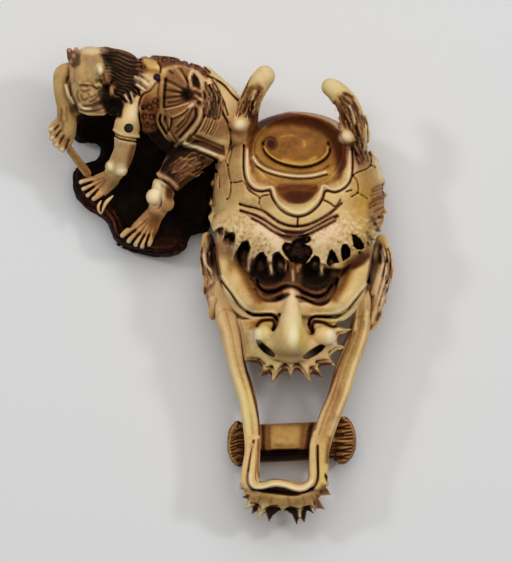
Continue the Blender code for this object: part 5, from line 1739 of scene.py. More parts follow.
# Painted shade under the body and the bundle.
patch(demon, [(140, 132), (150, 131), (157, 118), (160, 128), (166, 137), (176, 145), (172, 156),
    (156, 152), (144, 142)], 0.3, stain=0.93)
wash(demon, (113.4, 90), (0.35, 0.9), -16, edge=0.6, stain=0.25, red=0.5)
for line, wide, amount in (
    ([(98, 82.6), (100.6, 81.4), (103, 82.6)], 0.2, 0.66),
    ([(81, 87.6), (84.4, 86.2), (88.6, 87.6)], 0.14, 0.45),
    ([(82, 91), (85.6, 92.8), (90, 91.4)], 0.14, 0.55),
    ([(78.6, 92), (78, 97.6), (80.4, 102)], 0.13, 0.55),
    ([(82, 97), (84.4, 101.4), (88.6, 99.6)], 0.13, 0.6),
    ([(89, 95), (92, 98.8), (96.4, 96)], 0.12, 0.5),
    ([(91, 103), (95.6, 101), (99.6, 96.4)], 0.12, 0.6),
    ([(106.4, 87.6), (100.8, 93.6), (102.8, 99), (100.4, 104.6)], 0.2, 0.82),
    ([(85, 107.4), (90, 107), (95, 105.6), (99, 103)], 0.16, 0.72),
    ([(80.4, 110), (86.4, 111.8), (96, 111.4), (104, 109)], 0.13, 0.6),
    ([(93, 87), (97.4, 89.6), (101, 88)], 0.12, 0.5),
    ([(70.4, 84), (71.6, 92), (75.4, 101), (79, 108)], 0.15, 0.75),
    ([(76.6, 68), (75, 75), (76, 83)], 0.15, 0.34),
    ([(86, 62), (86, 72), (88, 80)], 0.2, 0.26),
    ([(83, 84), (88, 82.4), (94, 84)], 0.12, 0.4),
    ([(104, 76), (105.6, 82)], 0.13, 0.6),
    ([(68.6, 64), (69.4, 72), (68.4, 82)], 0.2, 0.6),
):
    stroke(demon, line, wide * 1.15, -0.14, stain=amount * 0.82)
stroke(demon, [(88, 109.2), (93, 108.8), (96.6, 106.8)], 0.13, stain=0.5, red=1)
# Painted highlights on the lower lip and the left ear.
stroke(demon, [(79.8, 105.6), (84.4, 109.3), (91, 109.8)], 0.13, 0.05, stain=0, pale=1)
stroke(demon, [(66.8, 87), (69.8, 96), (74, 104)], 0.13, 0.05, stain=0.02, pale=0.7)
print("mean stain of the demon's paper", round(float(demon.paint["stain"].mean()), 3))

# %% [markdown]
# ### Engraving the bundle
# Folds of cloth run from all sides to the knot. Pairs of a groove and a ridge read as a fold, and the cords
# get painted highlights on top and painted shade at both sides, which lifts them off the cloth.

# %% Engraving of the bundle
patch(demon, [(176, 68), (168, 70), (164.5, 77), (162.5, 90), (161.5, 102), (160, 112), (157.4, 118),
    (158.6, 127), (164, 136), (171, 143), (177, 147), (186, 139), (195, 129), (200.6, 119), (201, 110),
    (196, 104), (198, 98), (204, 92), (201, 80), (193, 70.6), (184, 67)], 0.25, 0, stain=0.36)
for spots in (
    [(166, 81), (175, 85), (184, 91), (188, 95)],
    [(170, 72), (178, 80), (185, 90)], [(181, 70), (186, 78), (189, 88)],
    [(165, 91), (175, 92.6), (186, 95)], [(165, 99), (176, 98.4), (186, 97)],
    [(166, 108.6), (178, 106), (188, 101)],
    [(167, 112.6), (171.6, 119), (171.6, 126), (168, 132)],
    [(173, 120), (182, 116.6), (189.6, 109.6)],
    [(176, 134), (186, 124), (193, 110)], [(168, 130), (174, 137), (178, 142)],
    [(169, 104), (179, 102.4), (187, 99)], [(166, 117), (166.6, 124), (170, 131)],
    [(192, 78), (193.4, 84), (193, 90)], [(178, 128), (184, 121), (188, 114)],
):
    stroke(demon, spots, 0.13, -0.22, stain=0.64)
for spots, amount in (
    ([(176, 69.6), (180.5, 75), (187, 84), (190.6, 90)], 0.2),
    ([(165, 84.4), (175, 88.8), (186, 93.4)], 0.26),
    ([(166, 110.4), (178, 108), (189, 104.6)], 0.16),
    ([(168, 113), (172.6, 117.8), (182, 113.8), (190, 108)], 0.14),
    ([(169.6, 120), (169.6, 127)], 0.25),
    ([(176, 126), (184, 119), (190, 111)], 0.3),
    ([(173, 95.6), (184, 96)], 0.3),
    ([(174, 76), (181, 84), (186, 90)], 0.3),
):
    stroke(demon, spots, 0.13, 0.14, stain=amount)
wash(demon, (188, 95.4), (0.8, 0.75), edge=0.5, height=-0.2, stain=0.88)
wash(demon, (197, 84), (0.42, 1), 12, edge=0.4, height=-0.2, stain=0.85)
wash(demon, (198.4, 99), (0.5, 1.3), edge=0.5, stain=0.78)
for spots, radii in LOOPS:
    stroke(demon, [spot[:2] for spot in spots], 0.22, stain=0.22)
# Painted highlights on top of the cords.
for index, amount in ((0, 0.4), (2, 0.4), (3, 0.9), (4, 0.3)):
    stroke(demon, [spot[:2] for spot in LOOPS[index][0][1:]], 0.14, stain=0.1, pale=amount)
# Painted shade at the sides of the cords.
for spots in (
    [(196, 110), (196, 118), (189, 128), (180, 138)],
    [(204.4, 110), (203.4, 120), (197, 131), (188, 141)],
    [(159.6, 82), (158.4, 96), (158.6, 108)],
    [(166.4, 80), (164.8, 96), (164.6, 108)],
    [(155.6, 116), (156.6, 126), (163, 137), (169, 143)],
    [(160.8, 116), (160.4, 123), (167, 134)],
    [(206, 84), (206.6, 92), (206, 100)],
):
    stroke(demon, spots, 0.16, -0.25, stain=0.86)
print("loops of the knot engraved")

# %% [markdown]
# ### Engraving the jacket
# The jacket and its collar are covered in small scrolls, an old pattern for clouds or curls. One spiral,
# drawn at many places with its own size and turn, takes the place of a texture and keeps the scrolls apart
# as on the carving.

# %% Engraving of the jacket
for spots, stain in (
    ([(156, 85), (160, 88), (161, 100), (160, 112), (157, 118), (157, 130), (148, 134), (140, 130),
      (139, 116), (141, 104), (146, 95)], 0.4),
    ([(141, 57), (152, 54), (160, 55), (175, 56.4), (188, 60), (199, 64), (211, 73), (207, 80), (197, 71),
      (186, 67), (177, 66), (168, 68), (162, 70), (158, 64), (148, 60)], 0.46),
    ([(137, 58), (143, 58), (146, 64), (150, 72), (146, 76), (139, 72)], 0.45),
):
    patch(demon, spots, 0.25, stain=stain, red=0.7)
for x, y, size, turn in (
    (150, 108, 3.6, 0.4), (145, 117, 3, 2), (152, 118, 3.2, 4), (156, 102, 3.4, 1.2), (149, 99, 2.6, 3),
    (147, 126, 2.8, 5), (154, 127, 2.6, 1), (144, 108, 2.4, 0), (150, 59, 2.2, 3.6), (157, 59, 2.4, 0.5),
    (165, 61, 2.8, 2.4), (173, 61, 2.6, 1), (181, 62.6, 2.6, 3.2), (189, 65.4, 2.4, 0), (197, 68.6, 2.2, 2),
    (204, 74, 1.9, 4.4), (142, 62, 2, 1), (144, 68, 2.2, 3),
):
    stroke(demon, spiral(x, y, size, turn, 1.25, 10), 0.12, -0.2, stain=0.66)
    wash(demon, (x, y), (size / 22, size / 22), edge=0.6, stain=0.2)
for spots, wide, amount in (
    ([(160, 81), (156, 85), (150.6, 92), (145, 94.4), (141.6, 98.2), (139.4, 106), (139, 116), (141, 126),
      (140, 134)], 0.13, 0.88),
    ([(141, 55.6), (152, 54), (160, 55), (175, 56.6), (188, 60.4), (199, 64.4), (210, 73)], 0.12, 0.8),
    ([(158, 63), (161, 68), (160.6, 74)], 0.12, 0.6),
    ([(113.4, 134.4), (118.6, 138.6), (126, 140.8), (134, 142), (141, 142)], 0.12, 0.85),
    ([(113.6, 132), (119, 135.8), (127, 138), (140.6, 139.4)], 0.09, 0.5),
    ([(208, 77), (215, 80), (224, 86), (232, 95), (239, 102)], 0.15, 0.85),
    ([(212, 81), (218, 90), (224, 103), (228, 116)], 0.1, 0.5),
    ([(222, 112), (226, 120), (230, 128), (231.4, 137), (230, 150), (227.6, 160)], 0.16, 0.9),
):
    stroke(demon, spots, wide, -0.3, stain=amount)
stroke(demon, [(113.8, 130.4), (119.5, 134), (127, 136.6), (140, 138)], 0.14, 0.14, stain=0.02, pale=0.5)
stroke(demon, [(113.8, 136.6), (119, 140.4), (127, 142.8), (139, 144)], 0.12, 0.05, stain=0.05, pale=0.4)
patch(demon, [(141, 60), (150, 58.6), (158, 62), (159, 67.6), (151, 68), (145, 66.6)], 0.25, stain=0.08,
    honey=0.5)
patch(demon, [(146, 70), (153, 69), (163, 72), (163, 80), (156, 83), (149, 79)], 0.3, stain=0.3, honey=0.5)
# Painted highlight on the sleeve.
wash(demon, (134, 113.6), (0.6, 0.9), edge=0.8, stain=0, pale=0.7)
wash(demon, (147, 82), (1, 0.8), edge=0.8, stain=0.02, pale=0.4)
patch(demon, [(131, 120), (140, 106), (141, 120), (140, 132), (135, 134)], 0.35, stain=0.14)
patch(demon, [(145, 90), (152, 86), (162, 85), (163, 97), (152, 101), (145, 99)], 0.35, stain=0.2, red=0.2,
    honey=0.4)
patch(demon, [(120, 134), (134, 136), (134, 139), (120, 139)], 0.3, stain=0.1)
print("jacket engraved")

# %% [markdown]
# ### Engraving fur, skirt and trousers
# The skirt is fur with a pale hem and a deep shadow under it, and the trouser is rough. Streaks with seeds
# draw the fur, first dark, then light, so that it looks combed and not scratched.

# %% Engraving of fur, skirt and trousers
patch(demon, [(207, 92), (213, 89), (219, 93), (224, 103), (222, 115), (216, 121), (208, 118), (204, 108),
    (205, 98)], 0.4, stain=0.66, grey=0.1)
streaks(demon, [(210, 86), (213, 96), (213, 106), (211, 120)], 1.1, 42, 5, 0.1, -0.18, stain=0.88)
streaks(demon, [(209, 82), (214, 94), (215, 106), (213, 118)], 1.1, 34, 6, 0.07, 0.1, stain=0.34, grey=0.2)
patch(demon, [(206, 121), (216, 122), (224, 118), (229, 128), (229, 140), (218, 139), (208, 134),
    (202, 130)], 0.3, stain=0.24)
for index in range(9):
    x, y = 200 + 1.8 * index, 0.6 * index + 1.6 * math.sin(4 * index)
    stroke(demon, [(x + 3, 118 + y), (x, 125.6 + y), (x - 3, 130 + y)], 0.08, -0.1, stain=0.5)
    stroke(demon, [(x + 4, 119 + y), (x + 1, 126 + y), (x - 2, 131 + y)], 0.08, 0.08, stain=0.1)
patch(demon, [(190, 135), (198, 135), (208, 139.6), (224, 146), (226, 156), (214, 153), (200, 147),
    (186, 143)], 0.15, stain=0.58)
stroke(demon, [(193, 137.6), (206, 142), (222, 148.4)], 0.12, 0.12, stain=0.3)
stroke(demon, [(184.6, 144.6), (196, 147.4), (207.6, 151.8), (216, 155.6)], 0.2, 0.22, stain=0, pale=1)
stroke(demon, [(183, 148.4), (196, 151.4), (208, 156), (217, 160)], 0.2, -0.3, stain=0.97)
# Painted shade under the skirt, at the top of the trouser.
patch(demon, [(170, 141), (177, 143), (184, 142), (185, 150), (176, 152), (166, 158), (164, 150)], 0.2,
    stain=0.9)
patch(demon, [(178, 150), (196, 153), (214, 160), (222, 165), (212, 190), (196, 196), (180, 192),
    (166, 180), (158, 174), (166, 160)], 0.3, stain=0.6)
# Painted shade along the trouser's upper edge.
stroke(demon, [(188, 151), (178, 152), (170, 160), (163, 168)], 0.45, stain=0.88)
streaks(demon, [(206, 160), (190, 166), (172, 180)], 1.9, 60, 8, 0.1, -0.08, stain=0.76)
streaks(demon, [(200, 158), (188, 168), (174, 178)], 1.5, 30, 9, 0.09, 0.08, stain=0.4)
for spots in (
    [(200, 163), (193, 167), (187, 165), (180, 171), (172, 173)],
    [(204, 172), (196, 176), (188, 174), (181, 180)],
    [(196, 158), (188, 160), (180, 158)],
):
    stroke(demon, spots, 0.14, 0.12, stain=0.34)
stroke(demon, [(162, 186), (160.6, 194), (161, 203), (158, 209)], 0.14, -0.2, stain=0.36)
stroke(demon, [(155.2, 176.8), (162, 180), (168.4, 184), (175.4, 191.6)], 0.15, -0.34, stain=0.94)
stroke(demon, [(157, 173.6), (164, 177), (171, 181.4), (177, 187)], 0.26, 0.2, stain=0.2, pale=0.15)
print("fur engraved")

# %% [markdown]
# ### Feet and hands
# Between the toes dye has stayed, and toes and knuckles are rubbed pale. The ankle bone, the shin and the
# wrist bones get painted highlights, and the staff arm a painted shaded side. The toes' grooves are worked
# out from the toes' tips and one root, so that they always fall between them.

# %% Feet and hands
patch(demon, [(148, 204), (170, 206), (162, 228), (156, 242), (122, 240), (134, 218)], 0.4, stain=0.17)
patch(demon, [(150, 213), (160, 214), (158, 230), (153, 240), (148, 238), (150, 226)], 0.5, stain=0.42,
    honey=0.5)
wash(demon, (169.4, 194), (0.5, 1.5), edge=0.6, stain=0.5)
patch(demon, [(104, 172), (122, 176), (116, 192), (102, 200), (82, 192), (82, 176)], 0.4, stain=0.22)


def between(start, end, share):
    """The spot this share of the way from start to end."""
    return start[0] + share * (end[0] - start[0]), start[1] + share * (end[1] - start[1])


for root, tips in (((157, 211), BACK_TIPS), ((112, 174), FRONT_TIPS)):
    for a, b in zip(tips, tips[1:]):
        end = ((a[0] + b[0]) / 2, (a[1] + b[1]) / 2)
        stroke(demon, [between(end, root, 0.72), end], 0.09, -0.1, stain=0.45)
        stroke(demon, [between(end, root, 0.3), end], 0.14, -0.24, stain=0.78)
    for tip in tips:
        stroke(demon, [between(tip, root, 0.4), tip], 0.1, 0.06, stain=0.16)
        wash(demon, tip, (0.22, 0.22), edge=0.6, stain=0, pale=0.9)
wash(demon, (167.6, 204.6), (0.7, 0.7), edge=0.7, stain=0.2, red=0.5)
# Painted shade on the right side of the staff arm.
patch(demon, [(69, 104), (78, 108), (79, 126), (75, 142), (69, 140), (70, 122)], 0.4, stain=0.52)
patch(demon, [(52, 62), (70, 64), (68, 84), (72, 104), (60, 112), (50, 96)], 0.4, stain=0.18)
patch(demon, [(54, 112), (78, 114), (76, 140), (66, 154), (46, 150), (44, 124)], 0.4, stain=0.2)
patch(demon, [(110, 142), (142, 144), (136, 168), (124, 176), (104, 168)], 0.5, stain=0.1)
stroke(demon, [(64, 142), (76, 158), (88, 174)], 0.6, stain=0.34)
patch(demon, [(58, 108), (66, 110), (66, 124), (62, 138), (56, 132), (57, 120)], 0.4, stain=0.2)
for spots in (
    [(59, 126), (54, 130.4), (49.6, 133.6)], [(61, 131), (56, 137), (51.6, 142.6)],
    [(64, 136), (60.4, 142), (57.4, 149)], [(69, 140), (67, 145), (65, 151)],
):
    stroke(demon, spots, 0.12, -0.26, stain=0.74)
for spot in ((51.4, 130.4), (52.8, 139.2), (57, 146), (61.8, 150)):
    wash(demon, spot, (0.3, 0.26), 30, edge=0.7, stain=0, pale=0.8)
for spots in ([(62, 110), (61.4, 122)], [(67, 108), (67.6, 122)], [(64, 122), (62.4, 132)]):
    stroke(demon, spots, 0.16, -0.05, stain=0.36)
patch(demon, [(132, 146), (137, 144), (133, 158), (131, 168), (126, 172), (128, 158)], 0.35, stain=0.4)
# Painted highlights on the ankle bone, the shin and the two wrist bones.
for spot, radii in (
    ((153.4, 197), (0.9, 0.95)), ((158, 188), (0.5, 1)), ((120.6, 169), (0.62, 0.62)),
    ((111, 165.6), (0.4, 0.55)),
):
    wash(demon, spot, radii, edge=0.7, stain=0, pale=1)
print("mean polish of the demon's paper", round(float(demon.paint["pale"].mean()), 3))

# %% [markdown]
# ## Rock
# The demon stands on a low rock of the same ivory, left rough and nearly black from dye and from painted
# shade under the bent figure; the rock is also spread under his head, where its black stands for shade. It
# could be displaced by a modifier; in clay, three sizes of noise are simply added to the distances, and a
# wave in height gives it layers.

# %% Rock
rock = Block(60, 96, 222, 264, -0.3, 7, STEP * 1.2)
ROCK_OUTLINE = [
    (75, 166), (71.6, 171), (70.2, 177), (70.6, 185), (73.4, 194), (78, 201.6), (84, 206.6), (91, 209.6),
    (96, 213), (103, 217.6), (108.4, 224), (111.6, 231), (113.6, 238), (117, 242.4), (123.4, 245.6),
    (133, 249), (144.5, 252), (156, 255), (168, 256.2), (178, 253.6), (184.6, 248.6), (187.6, 241),
    (190.6, 235.8), (197, 233.6), (206, 233), (216, 215), (222, 180), (224, 150), (206, 132), (180, 120),
    (150, 104), (100, 102), (80, 106), (72, 114), (70, 128), (72, 139), (77, 142.6), (88, 142.4),
    (95.6, 143.6), (98.8, 149), (98.8, 154.6), (94.6, 159.2), (84, 161.4),
]
rock.add(slab(ROCK_OUTLINE, -1, 4.1, 1.2, lean=0.1), 0)
for (x, y), (radius_x, radius_y), top in (
    ((184, 205), (2, 2.5), 4.8), ((178, 178), (3.4, 4), 5), ((150, 165), (4.4, 4.6), 5),
    ((166, 240), (2, 1.2), 4.6), ((100, 190), (3, 1.8), 4.6), ((130, 215), (2.4, 2.6), 4.6),
    ((110, 125), (3.4, 2), 4.6),
):
    rock.add(ball((x, y, top * 0.5), (radius_x, radius_y, top * 0.5)), 0.8)
LUMPS = ((1.5, 0.12, 3), (0.6, 0.09, 4), (0.28, 0.05, 6))  # width and height in mm, and a seed
rock.field += sum(speckle(rock.shape, width / rock.step, seed) * height for width, height, seed in LUMPS)
BEND_WIDTH, LAYER_HEIGHT = 2.6, 0.16  # mm
bend = 2.6 * speckle(rock.shape, BEND_WIDTH / rock.step, 8)
layers = np.sin(2.9 * rock.axis(2) + bend) * smoothstep(3.6, 2.8, rock.axis(2))
rock.field += LAYER_HEIGHT * layers.astype(np.float32)
ROCK_FOOT = [(74, 190), (86, 205), (106, 218), (116, 238), (140, 249), (168, 252), (186, 244)]
for reach, count, seed in ((1.2, 90, 14), (0.7, 60, 15)):
    streaks(rock, ROCK_FOOT, reach, count, seed, 0.12, 0.06, red=0.6)
patch(rock, [(114, 238), (124, 246), (144, 252), (168, 257), (185, 249), (188, 240), (180, 236), (160, 242),
    (140, 240)], 0.6, red=0.5)
print("rock block", rock.shape)


def rock_dye_and_shade(places, crease, deep):
    """Nearly black, from dye and painted shade; browner near the ground, in the streaks and on what stands
    out.
    """
    edge = smoothstep(2.6, 0.4, places[:, 2])
    brown = at_points(rock.paint["red"], rock, places)
    return 0.95 - 0.12 * edge - 0.34 * brown - 0.1 * smoothstep(0, 0.4, -crease)

# %% [markdown]
# ## Colours and nodes
# Colours are written as on a colour chart, in sRGB, and one function turns them to the linear values that
# shaders expect. One more function adds a node with its settings and links, so that a material reads from
# top to bottom.

# %% Colours and nodes
def linear(colour, alpha=1):
    """An sRGB hex colour as linear values."""
    parts = [int(colour[i : i + 2], 16) / 255 for i in (1, 3, 5)]
    return (*[p / 12.92 if p <= 0.04045 else ((p + 0.055) / 1.055) ** 2.4 for p in parts], alpha)


def add_node(tree, kind, links=(), **settings):
    """A node with its links as (input, output), its properties, and its input values by name in inputs."""
    node = tree.nodes.new(kind)
    inputs = settings.pop("inputs", {})
    for name, value in settings.items():
        setattr(node, name, value)
    for name, value in inputs.items():
        node.inputs[name].default_value = value
    for name, output in links:
        tree.links.new(output, node.inputs[name])
    return node


print("mid grey in linear light is", round(linear("#808080")[0], 3))

# %% [markdown]
# ### Stained ivory
# The carving is ivory, cut with knives, polished, and wiped with a brown dye that stays in every groove and
# wears off what hands touch. To the eye that gives a range from pale ivory through honey to black-brown.
# Its IOR is ivory's, 1.54, and its roughness rises with the stain: polished places are glossy, dyed grooves
# are dull. The ramp reads the stain stored at each point, which holds dye and also painted shade, and the
# other layers tint it, the pale one with polish and also painted highlights. Three sizes of noise keep it
# from
# being even: patches of a few millimetres, a fleck drawn coarser than ivory's real pores so that it shows,
# and a slow drift between a greenish and a pinkish white.

# %% Stained ivory
PATCHES, FLECKS, DRIFTS = 0.26, 1.9, 0.15  # to the mm, so they are about 3.8, 0.53 and 6.7 mm wide
FLECK_DEPTH = 0.06  # mm, of the bump
MM_PER_METRE = 1000
IVORY_IOR = 1.54
STAIN_STEPS = [
    (0, "#e8cd9a"), (0.14, "#d0ad7a"), (0.32, "#a0744c"), (0.52, "#66432d"), (0.74, "#2d1710"),
    (0.95, "#0b0504"),
]


def ivory_material(name, shine):
    """Ivory that reads its stain from the points of the mesh; shine is its specular level."""
    made = bpy.data.materials.new(name)
    made.use_nodes = True
    tree = made.node_tree
    shader = tree.nodes["Principled BSDF"]
    places = add_node(tree, "ShaderNodeTexCoord").outputs["Object"]
    layer = {n: add_node(tree, "ShaderNodeAttribute", attribute_name=n).outputs["Fac"]
             for n in LAYERS}
    patches = add_node(tree, "ShaderNodeTexNoise", [("Vector", places)],
        inputs={"Scale": PATCHES * MM_PER_METRE, "Detail": 4, "Roughness": 0.6})
    grain = add_node(tree, "ShaderNodeTexNoise", [("Vector", places)],
        inputs={"Scale": FLECKS * MM_PER_METRE, "Detail": 3, "Roughness": 0.6})
    drift = add_node(tree, "ShaderNodeMapRange", [("Value", patches.outputs["Fac"])],
                     inputs={"From Min": 0.3, "From Max": 0.7, "To Min": -0.06, "To Max": 0.1})
    fleck = add_node(tree, "ShaderNodeMapRange", [("Value", grain.outputs["Fac"])],
                     inputs={"From Min": 0.3, "From Max": 0.7, "To Min": -0.035, "To Max": 0.035})
    total = add_node(tree, "ShaderNodeMath", [(0, layer["stain"]), (1, drift.outputs[0])], operation="ADD")
    total = add_node(tree, "ShaderNodeMath", [(0, total.outputs[0]), (1, fleck.outputs[0])],
        operation="ADD", use_clamp=True)
    ramp = add_node(tree, "ShaderNodeValToRGB", [("Fac", total.outputs[0])])
    while len(ramp.color_ramp.elements) < len(STAIN_STEPS):
        ramp.color_ramp.elements.new(0.5)
    for element, (place, colour) in zip(ramp.color_ramp.elements, STAIN_STEPS):
        element.position = place
        element.color = linear(colour)
    colour = ramp.outputs["Color"]
    for name, tone, most, way in (("red", "#c0603a", 0.62, "MULTIPLY"), ("honey", "#fff6b0", 1, "MULTIPLY"),
                                  ("grey", "#cdbfa2", 0.4, "MIX"), ("pale", "#fff2dc", 0.8, "MIX")):
        share = add_node(tree, "ShaderNodeMath", [(0, layer[name])], operation="MULTIPLY", inputs={1: most},
            use_clamp=True)
        mixed = add_node(tree, "ShaderNodeMix", [(0, share.outputs[0]), (6, colour)], data_type="RGBA",
                         blend_type=way, inputs={7: linear(tone)})
        colour = mixed.outputs[2]
    tint = add_node(tree, "ShaderNodeTexNoise", [("Vector", places)],
        inputs={"Scale": DRIFTS * MM_PER_METRE, "Detail": 2})
    side = add_node(tree, "ShaderNodeMapRange", [("Value", tint.outputs["Fac"])],
        inputs={"From Min": 0.38, "From Max": 0.62})
    cast = add_node(tree, "ShaderNodeMix", [(0, side.outputs[0])], data_type="RGBA",
                    inputs={6: linear("#f4f4da"), 7: linear("#fff1e4")})
    colour = add_node(tree, "ShaderNodeMix", [(6, colour), (7, cast.outputs[2])], data_type="RGBA",
        blend_type="MULTIPLY", inputs={0: 1.0}).outputs[2]
    tree.links.new(colour, shader.inputs["Base Color"])
    rough = add_node(tree, "ShaderNodeMapRange", [("Value", total.outputs[0])],
        inputs={"To Min": 0.27, "To Max": 0.7})
    tree.links.new(rough.outputs[0], shader.inputs["Roughness"])
    shader.inputs["IOR"].default_value = IVORY_IOR
    shader.inputs["Specular IOR Level"].default_value = shine
    shader.inputs["Specular Tint"].default_value = linear("#ffe2c4")
    bump = add_node(tree, "ShaderNodeBump", [("Height", grain.outputs["Fac"])],
        inputs={"Strength": 0.25, "Distance": FLECK_DEPTH / MM_PER_METRE})
    tree.links.new(bump.outputs["Normal"], shader.inputs["Normal"])
    return made


ivory = ivory_material("stained_ivory", 0.11)
# The rock's material; the rock's black comes from dye and painted shade in its stain.
dark_ivory = ivory_material("black_ivory_dyed_and_shaded", 0.05)
print("ivory materials:", ivory.name, dark_ivory.name)

# %% [markdown]
# ### Dark horn
# The two studs are black horn, turned and rubbed smooth. Horn grows in layers, which show as faint brown
# clouds in the black, and it takes a softer polish than ivory.

# %% Dark horn
HORN_LAYERS = 1.4  # to the mm, so they are about 0.7 mm thick


def horn_material():
    """Black horn with faint brown layers and a soft polish."""
    made = bpy.data.materials.new("dark_horn")
    made.use_nodes = True
    tree = made.node_tree
    shader = tree.nodes["Principled BSDF"]
    places = add_node(tree, "ShaderNodeTexCoord").outputs["Object"]
    layers = add_node(tree, "ShaderNodeTexNoise", [("Vector", places)],
        inputs={"Scale": HORN_LAYERS * MM_PER_METRE, "Detail": 3})
    ramp = add_node(tree, "ShaderNodeValToRGB", [("Fac", layers.outputs["Fac"])])
    for element, place, colour in zip(ramp.color_ramp.elements, (0.35, 0.75), ("#08060a", "#241a1c")):
        element.position = place
        element.color = linear(colour)
    tree.links.new(ramp.outputs["Color"], shader.inputs["Base Color"])
    rough = add_node(tree, "ShaderNodeMapRange", [("Value", layers.outputs["Fac"])],
        inputs={"To Min": 0.3, "To Max": 0.45})
    tree.links.new(rough.outputs[0], shader.inputs["Roughness"])
    shader.inputs["Specular IOR Level"].default_value = 0.12
    return made


horn = horn_material()
print("horn material:", horn.name)

# %% [markdown]
# ## Stain and painted shade on the sides
# Strokes come from above and cannot reach upright walls, so a formula darkens those: more towards the foot,
# more round the bowl's rim, as dye and painted shade, more in the mouth, as painted shade, and on the log's
# rough ends, as stain.

# %% Stain on the sides
def wall_darkening(places):
    """Walls get darker towards the foot."""
    return 0.1 + 0.16 * smoothstep(7, 0.5, places[:, 2])


def mask_wall_darkening(places):
    """The same, with a darker rim around the bowl, of dye and painted shade."""
    rim = to_line(places[:, 0], places[:, 1], [(*on_plan(spot), 0) for spot in BOWL_RIM])
    return wall_darkening(places) + 0.55 * smoothstep(2.2, 0.6, rim) * smoothstep(4.5, 8, places[:, 2])


MOUTH = [
    (243, 345), (257, 410), (260, 434), (258, 478), (309, 478), (310, 436), (320, 410), (335, 374),
    (351, 330), (300, 330),
]


def jaw_wall_darkening(places):
    """The walls that face the mouth get painted shade."""
    mouth = to_outline(places[:, 0], places[:, 1], MOUTH)
    return wall_darkening(places) + 0.3 * smoothstep(0.5, 0.2, mouth)


def log_stain(places):
    """The rough ends keep more stain than the smooth middle."""
    return 0.2 + 0.28 * smoothstep(4.7, 5.2, np.abs(places[:, 0] + 0.7))


print("stain at the foot of a wall", round(float(wall_darkening(np.zeros((1, 3)))[0]), 2))

# %% [markdown]
# ## Pieces
# The real netsuke is cut from one piece. Here each block becomes one closed mesh, since that keeps every
# grid small, and the pieces overlap a little inside the ivory, where nobody sees them meet.

# %% Pieces
made = [
    to_ivory("mask", mask, ivory, 3, sides=mask_wall_darkening),
    to_ivory("jaw", jaw, ivory, 3, sides=jaw_wall_darkening),
    to_ivory("log", log, ivory, 1, sides=log_stain),
    to_ivory("demon", demon, ivory, 4, sides=wall_darkening),
    to_ivory("rock", rock, dark_ivory, 0, darker=rock_dye_and_shade),
]
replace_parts(made[0], "ivory_carving")
print("pieces of ivory", len(made))

# %% [markdown]
# ### Horn pegs
# A hole is drilled and a small horn peg pressed in and polished flush. The peg is a round wall of clay on a
# fine grid. It has to stand a hair above uneven ivory, so the height of the ivory is felt at eight places
# round it.

# %% Horn pegs
PEG_STEP, PEG_LENGTH, PROUD = 0.05, 1.2, 0.12  # mm
FEELERS, FEELER_RING = 8, 5.5  # places round the peg, and squares out to them for each mm of its radius
PEG_ROOM = 8  # squares of paper on each side of its middle


def dot(name, spot, radius, block):
    """A dark horn peg with a slightly domed head that stands a hair above the ivory around it."""
    tops = []
    for turn in range(FEELERS):
        angle = turn * math.pi / 4
        edge = (
            spot[0] + FEELER_RING * radius * math.cos(angle),
            spot[1] + FEELER_RING * radius * math.sin(angle),
        )
        column, row = [round(float(v)) for v in (np.array(on_plan(edge)) - block.low[:2]) / block.step]
        tops.append(float(block.axis(2)[np.flatnonzero(block.field[column, row] < 0).max()]))
    top = 0.3 * sum(tops) / FEELERS + 0.7 * max(tops) + PROUD
    low = top - PEG_LENGTH
    left, right, up, down = spot[0] - PEG_ROOM, spot[0] + PEG_ROOM, spot[1] - PEG_ROOM, spot[1] + PEG_ROOM
    clay = Block(left, up, right, down, low - 0.3, top + 0.3, PEG_STEP)
    clay.add(wall([(*spot, radius), (spot[0] + 0.01, spot[1], radius)], low, top, 0.16), 0)
    points, faces = skin(clay)
    mesh = mesh_of(name, points, faces)
    settle(mesh, horn)
    made = placed(name, mesh)
    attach(made, "root")
    print(name, "stands up to", round(top, 2), "mm")
    return made


ELBOW, SHOULDER = (129.2, 128.7), (157.6, 78.4)
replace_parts(dot("elbow_peg", ELBOW, 0.6, demon), "elbow_dot")
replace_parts(dot("shoulder_peg", SHOULDER, 0.46, demon), "shoulder_dot")

# %% [markdown]
# ## Table
# The netsuke lies on plain pale paper, which has no gloss and takes soft shadows. A plane is enough, a hair
# below the ivory so that the two never share a surface.

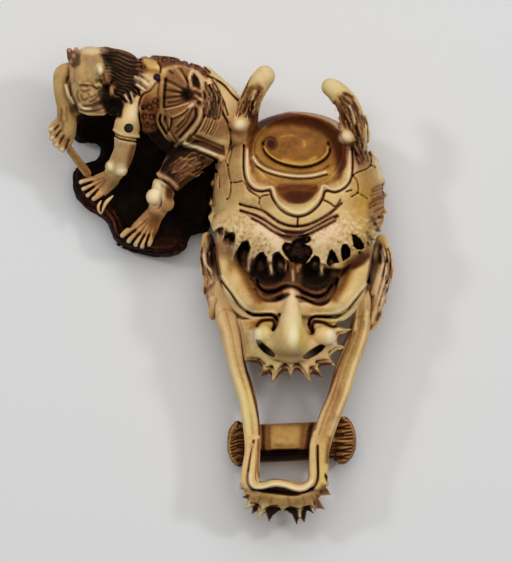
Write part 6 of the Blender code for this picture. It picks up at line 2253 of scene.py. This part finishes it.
# %% Table
TABLE_SIZE, TABLE_DROP = 1.2, 0.0002  # metres
bpy.ops.mesh.primitive_plane_add(size=TABLE_SIZE, location=(0, 0, -TABLE_DROP))
table = bpy.context.object
table.name = "table"
paper = bpy.data.materials.new("pale_paper")
paper.use_nodes = True
paper.node_tree.nodes["Principled BSDF"].inputs["Base Color"].default_value = linear("#e6e6e6")
paper.node_tree.nodes["Principled BSDF"].inputs["Roughness"].default_value = 0.9
table.data.materials.append(paper)
print("table of", TABLE_SIZE, "m")

# %% [markdown]
# ### Light
# A large soft light beyond the crown models the forms, and two small lamps at the sides give the polished
# places their highlights. The room adds a little light from everywhere, so that no shadow is empty.

# %% Light
AIM = (-0.005, -0.006, 0)


def area_light(name, spot, size, power):
    """A round lamp that looks at the middle of the netsuke; places and sizes in metres, power in watts."""
    lamp = bpy.data.lights.new(name, "AREA")
    lamp.shape = "DISK"
    lamp.size = size
    lamp.energy = power
    made = placed(name, lamp)
    made.location = spot
    made.rotation_euler = (Vector(AIM) - Vector(spot)).to_track_quat("-Z", "Y").to_euler()


area_light("soft_box", (0.02, 0.25, 0.6), 0.8, 3)
area_light("left_lamp", (-0.38, 0.16, 0.42), 0.07, 0.5)
area_light("right_lamp", (0.38, 0.16, 0.42), 0.07, 0.62)
world = bpy.data.worlds.new("room")
world.use_nodes = True
world.node_tree.nodes["Background"].inputs["Color"].default_value = linear("#ffffff")
world.node_tree.nodes["Background"].inputs["Strength"].default_value = 0.15
bpy.context.scene.world = world
bpy.context.scene.view_settings.view_transform = "Standard"

# %% [markdown]
# ### Camera
# The camera looks straight down, turned with the paper. Its focal length follows from the width of the
# picture at the height of the mask's face, so that eight squares of the paper make a millimetre there.

# %% Camera
PICTURE_MIDDLE = (256, 281)
PICTURE_WIDTH, CAMERA_HEIGHT, FACE_HEIGHT = 0.064, 1, 0.009  # metres
SENSOR = 36  # mm
lens = bpy.data.cameras.new("camera")
camera = placed("camera", lens)
bpy.context.scene.camera = camera
middle = Matrix.Rotation(LEAN, 4, "Z") @ Vector((*on_plan(PICTURE_MIDDLE), 0))
camera.location = (middle.x / 1000, middle.y / 1000, CAMERA_HEIGHT)
camera.rotation_euler = (0, 0, LEAN)
lens.sensor_fit = "HORIZONTAL"
lens.sensor_width = SENSOR
lens.lens = SENSOR * (CAMERA_HEIGHT - FACE_HEIGHT) / PICTURE_WIDTH
lens.clip_start = 0.05
print("focal length", round(lens.lens, 1), "mm")
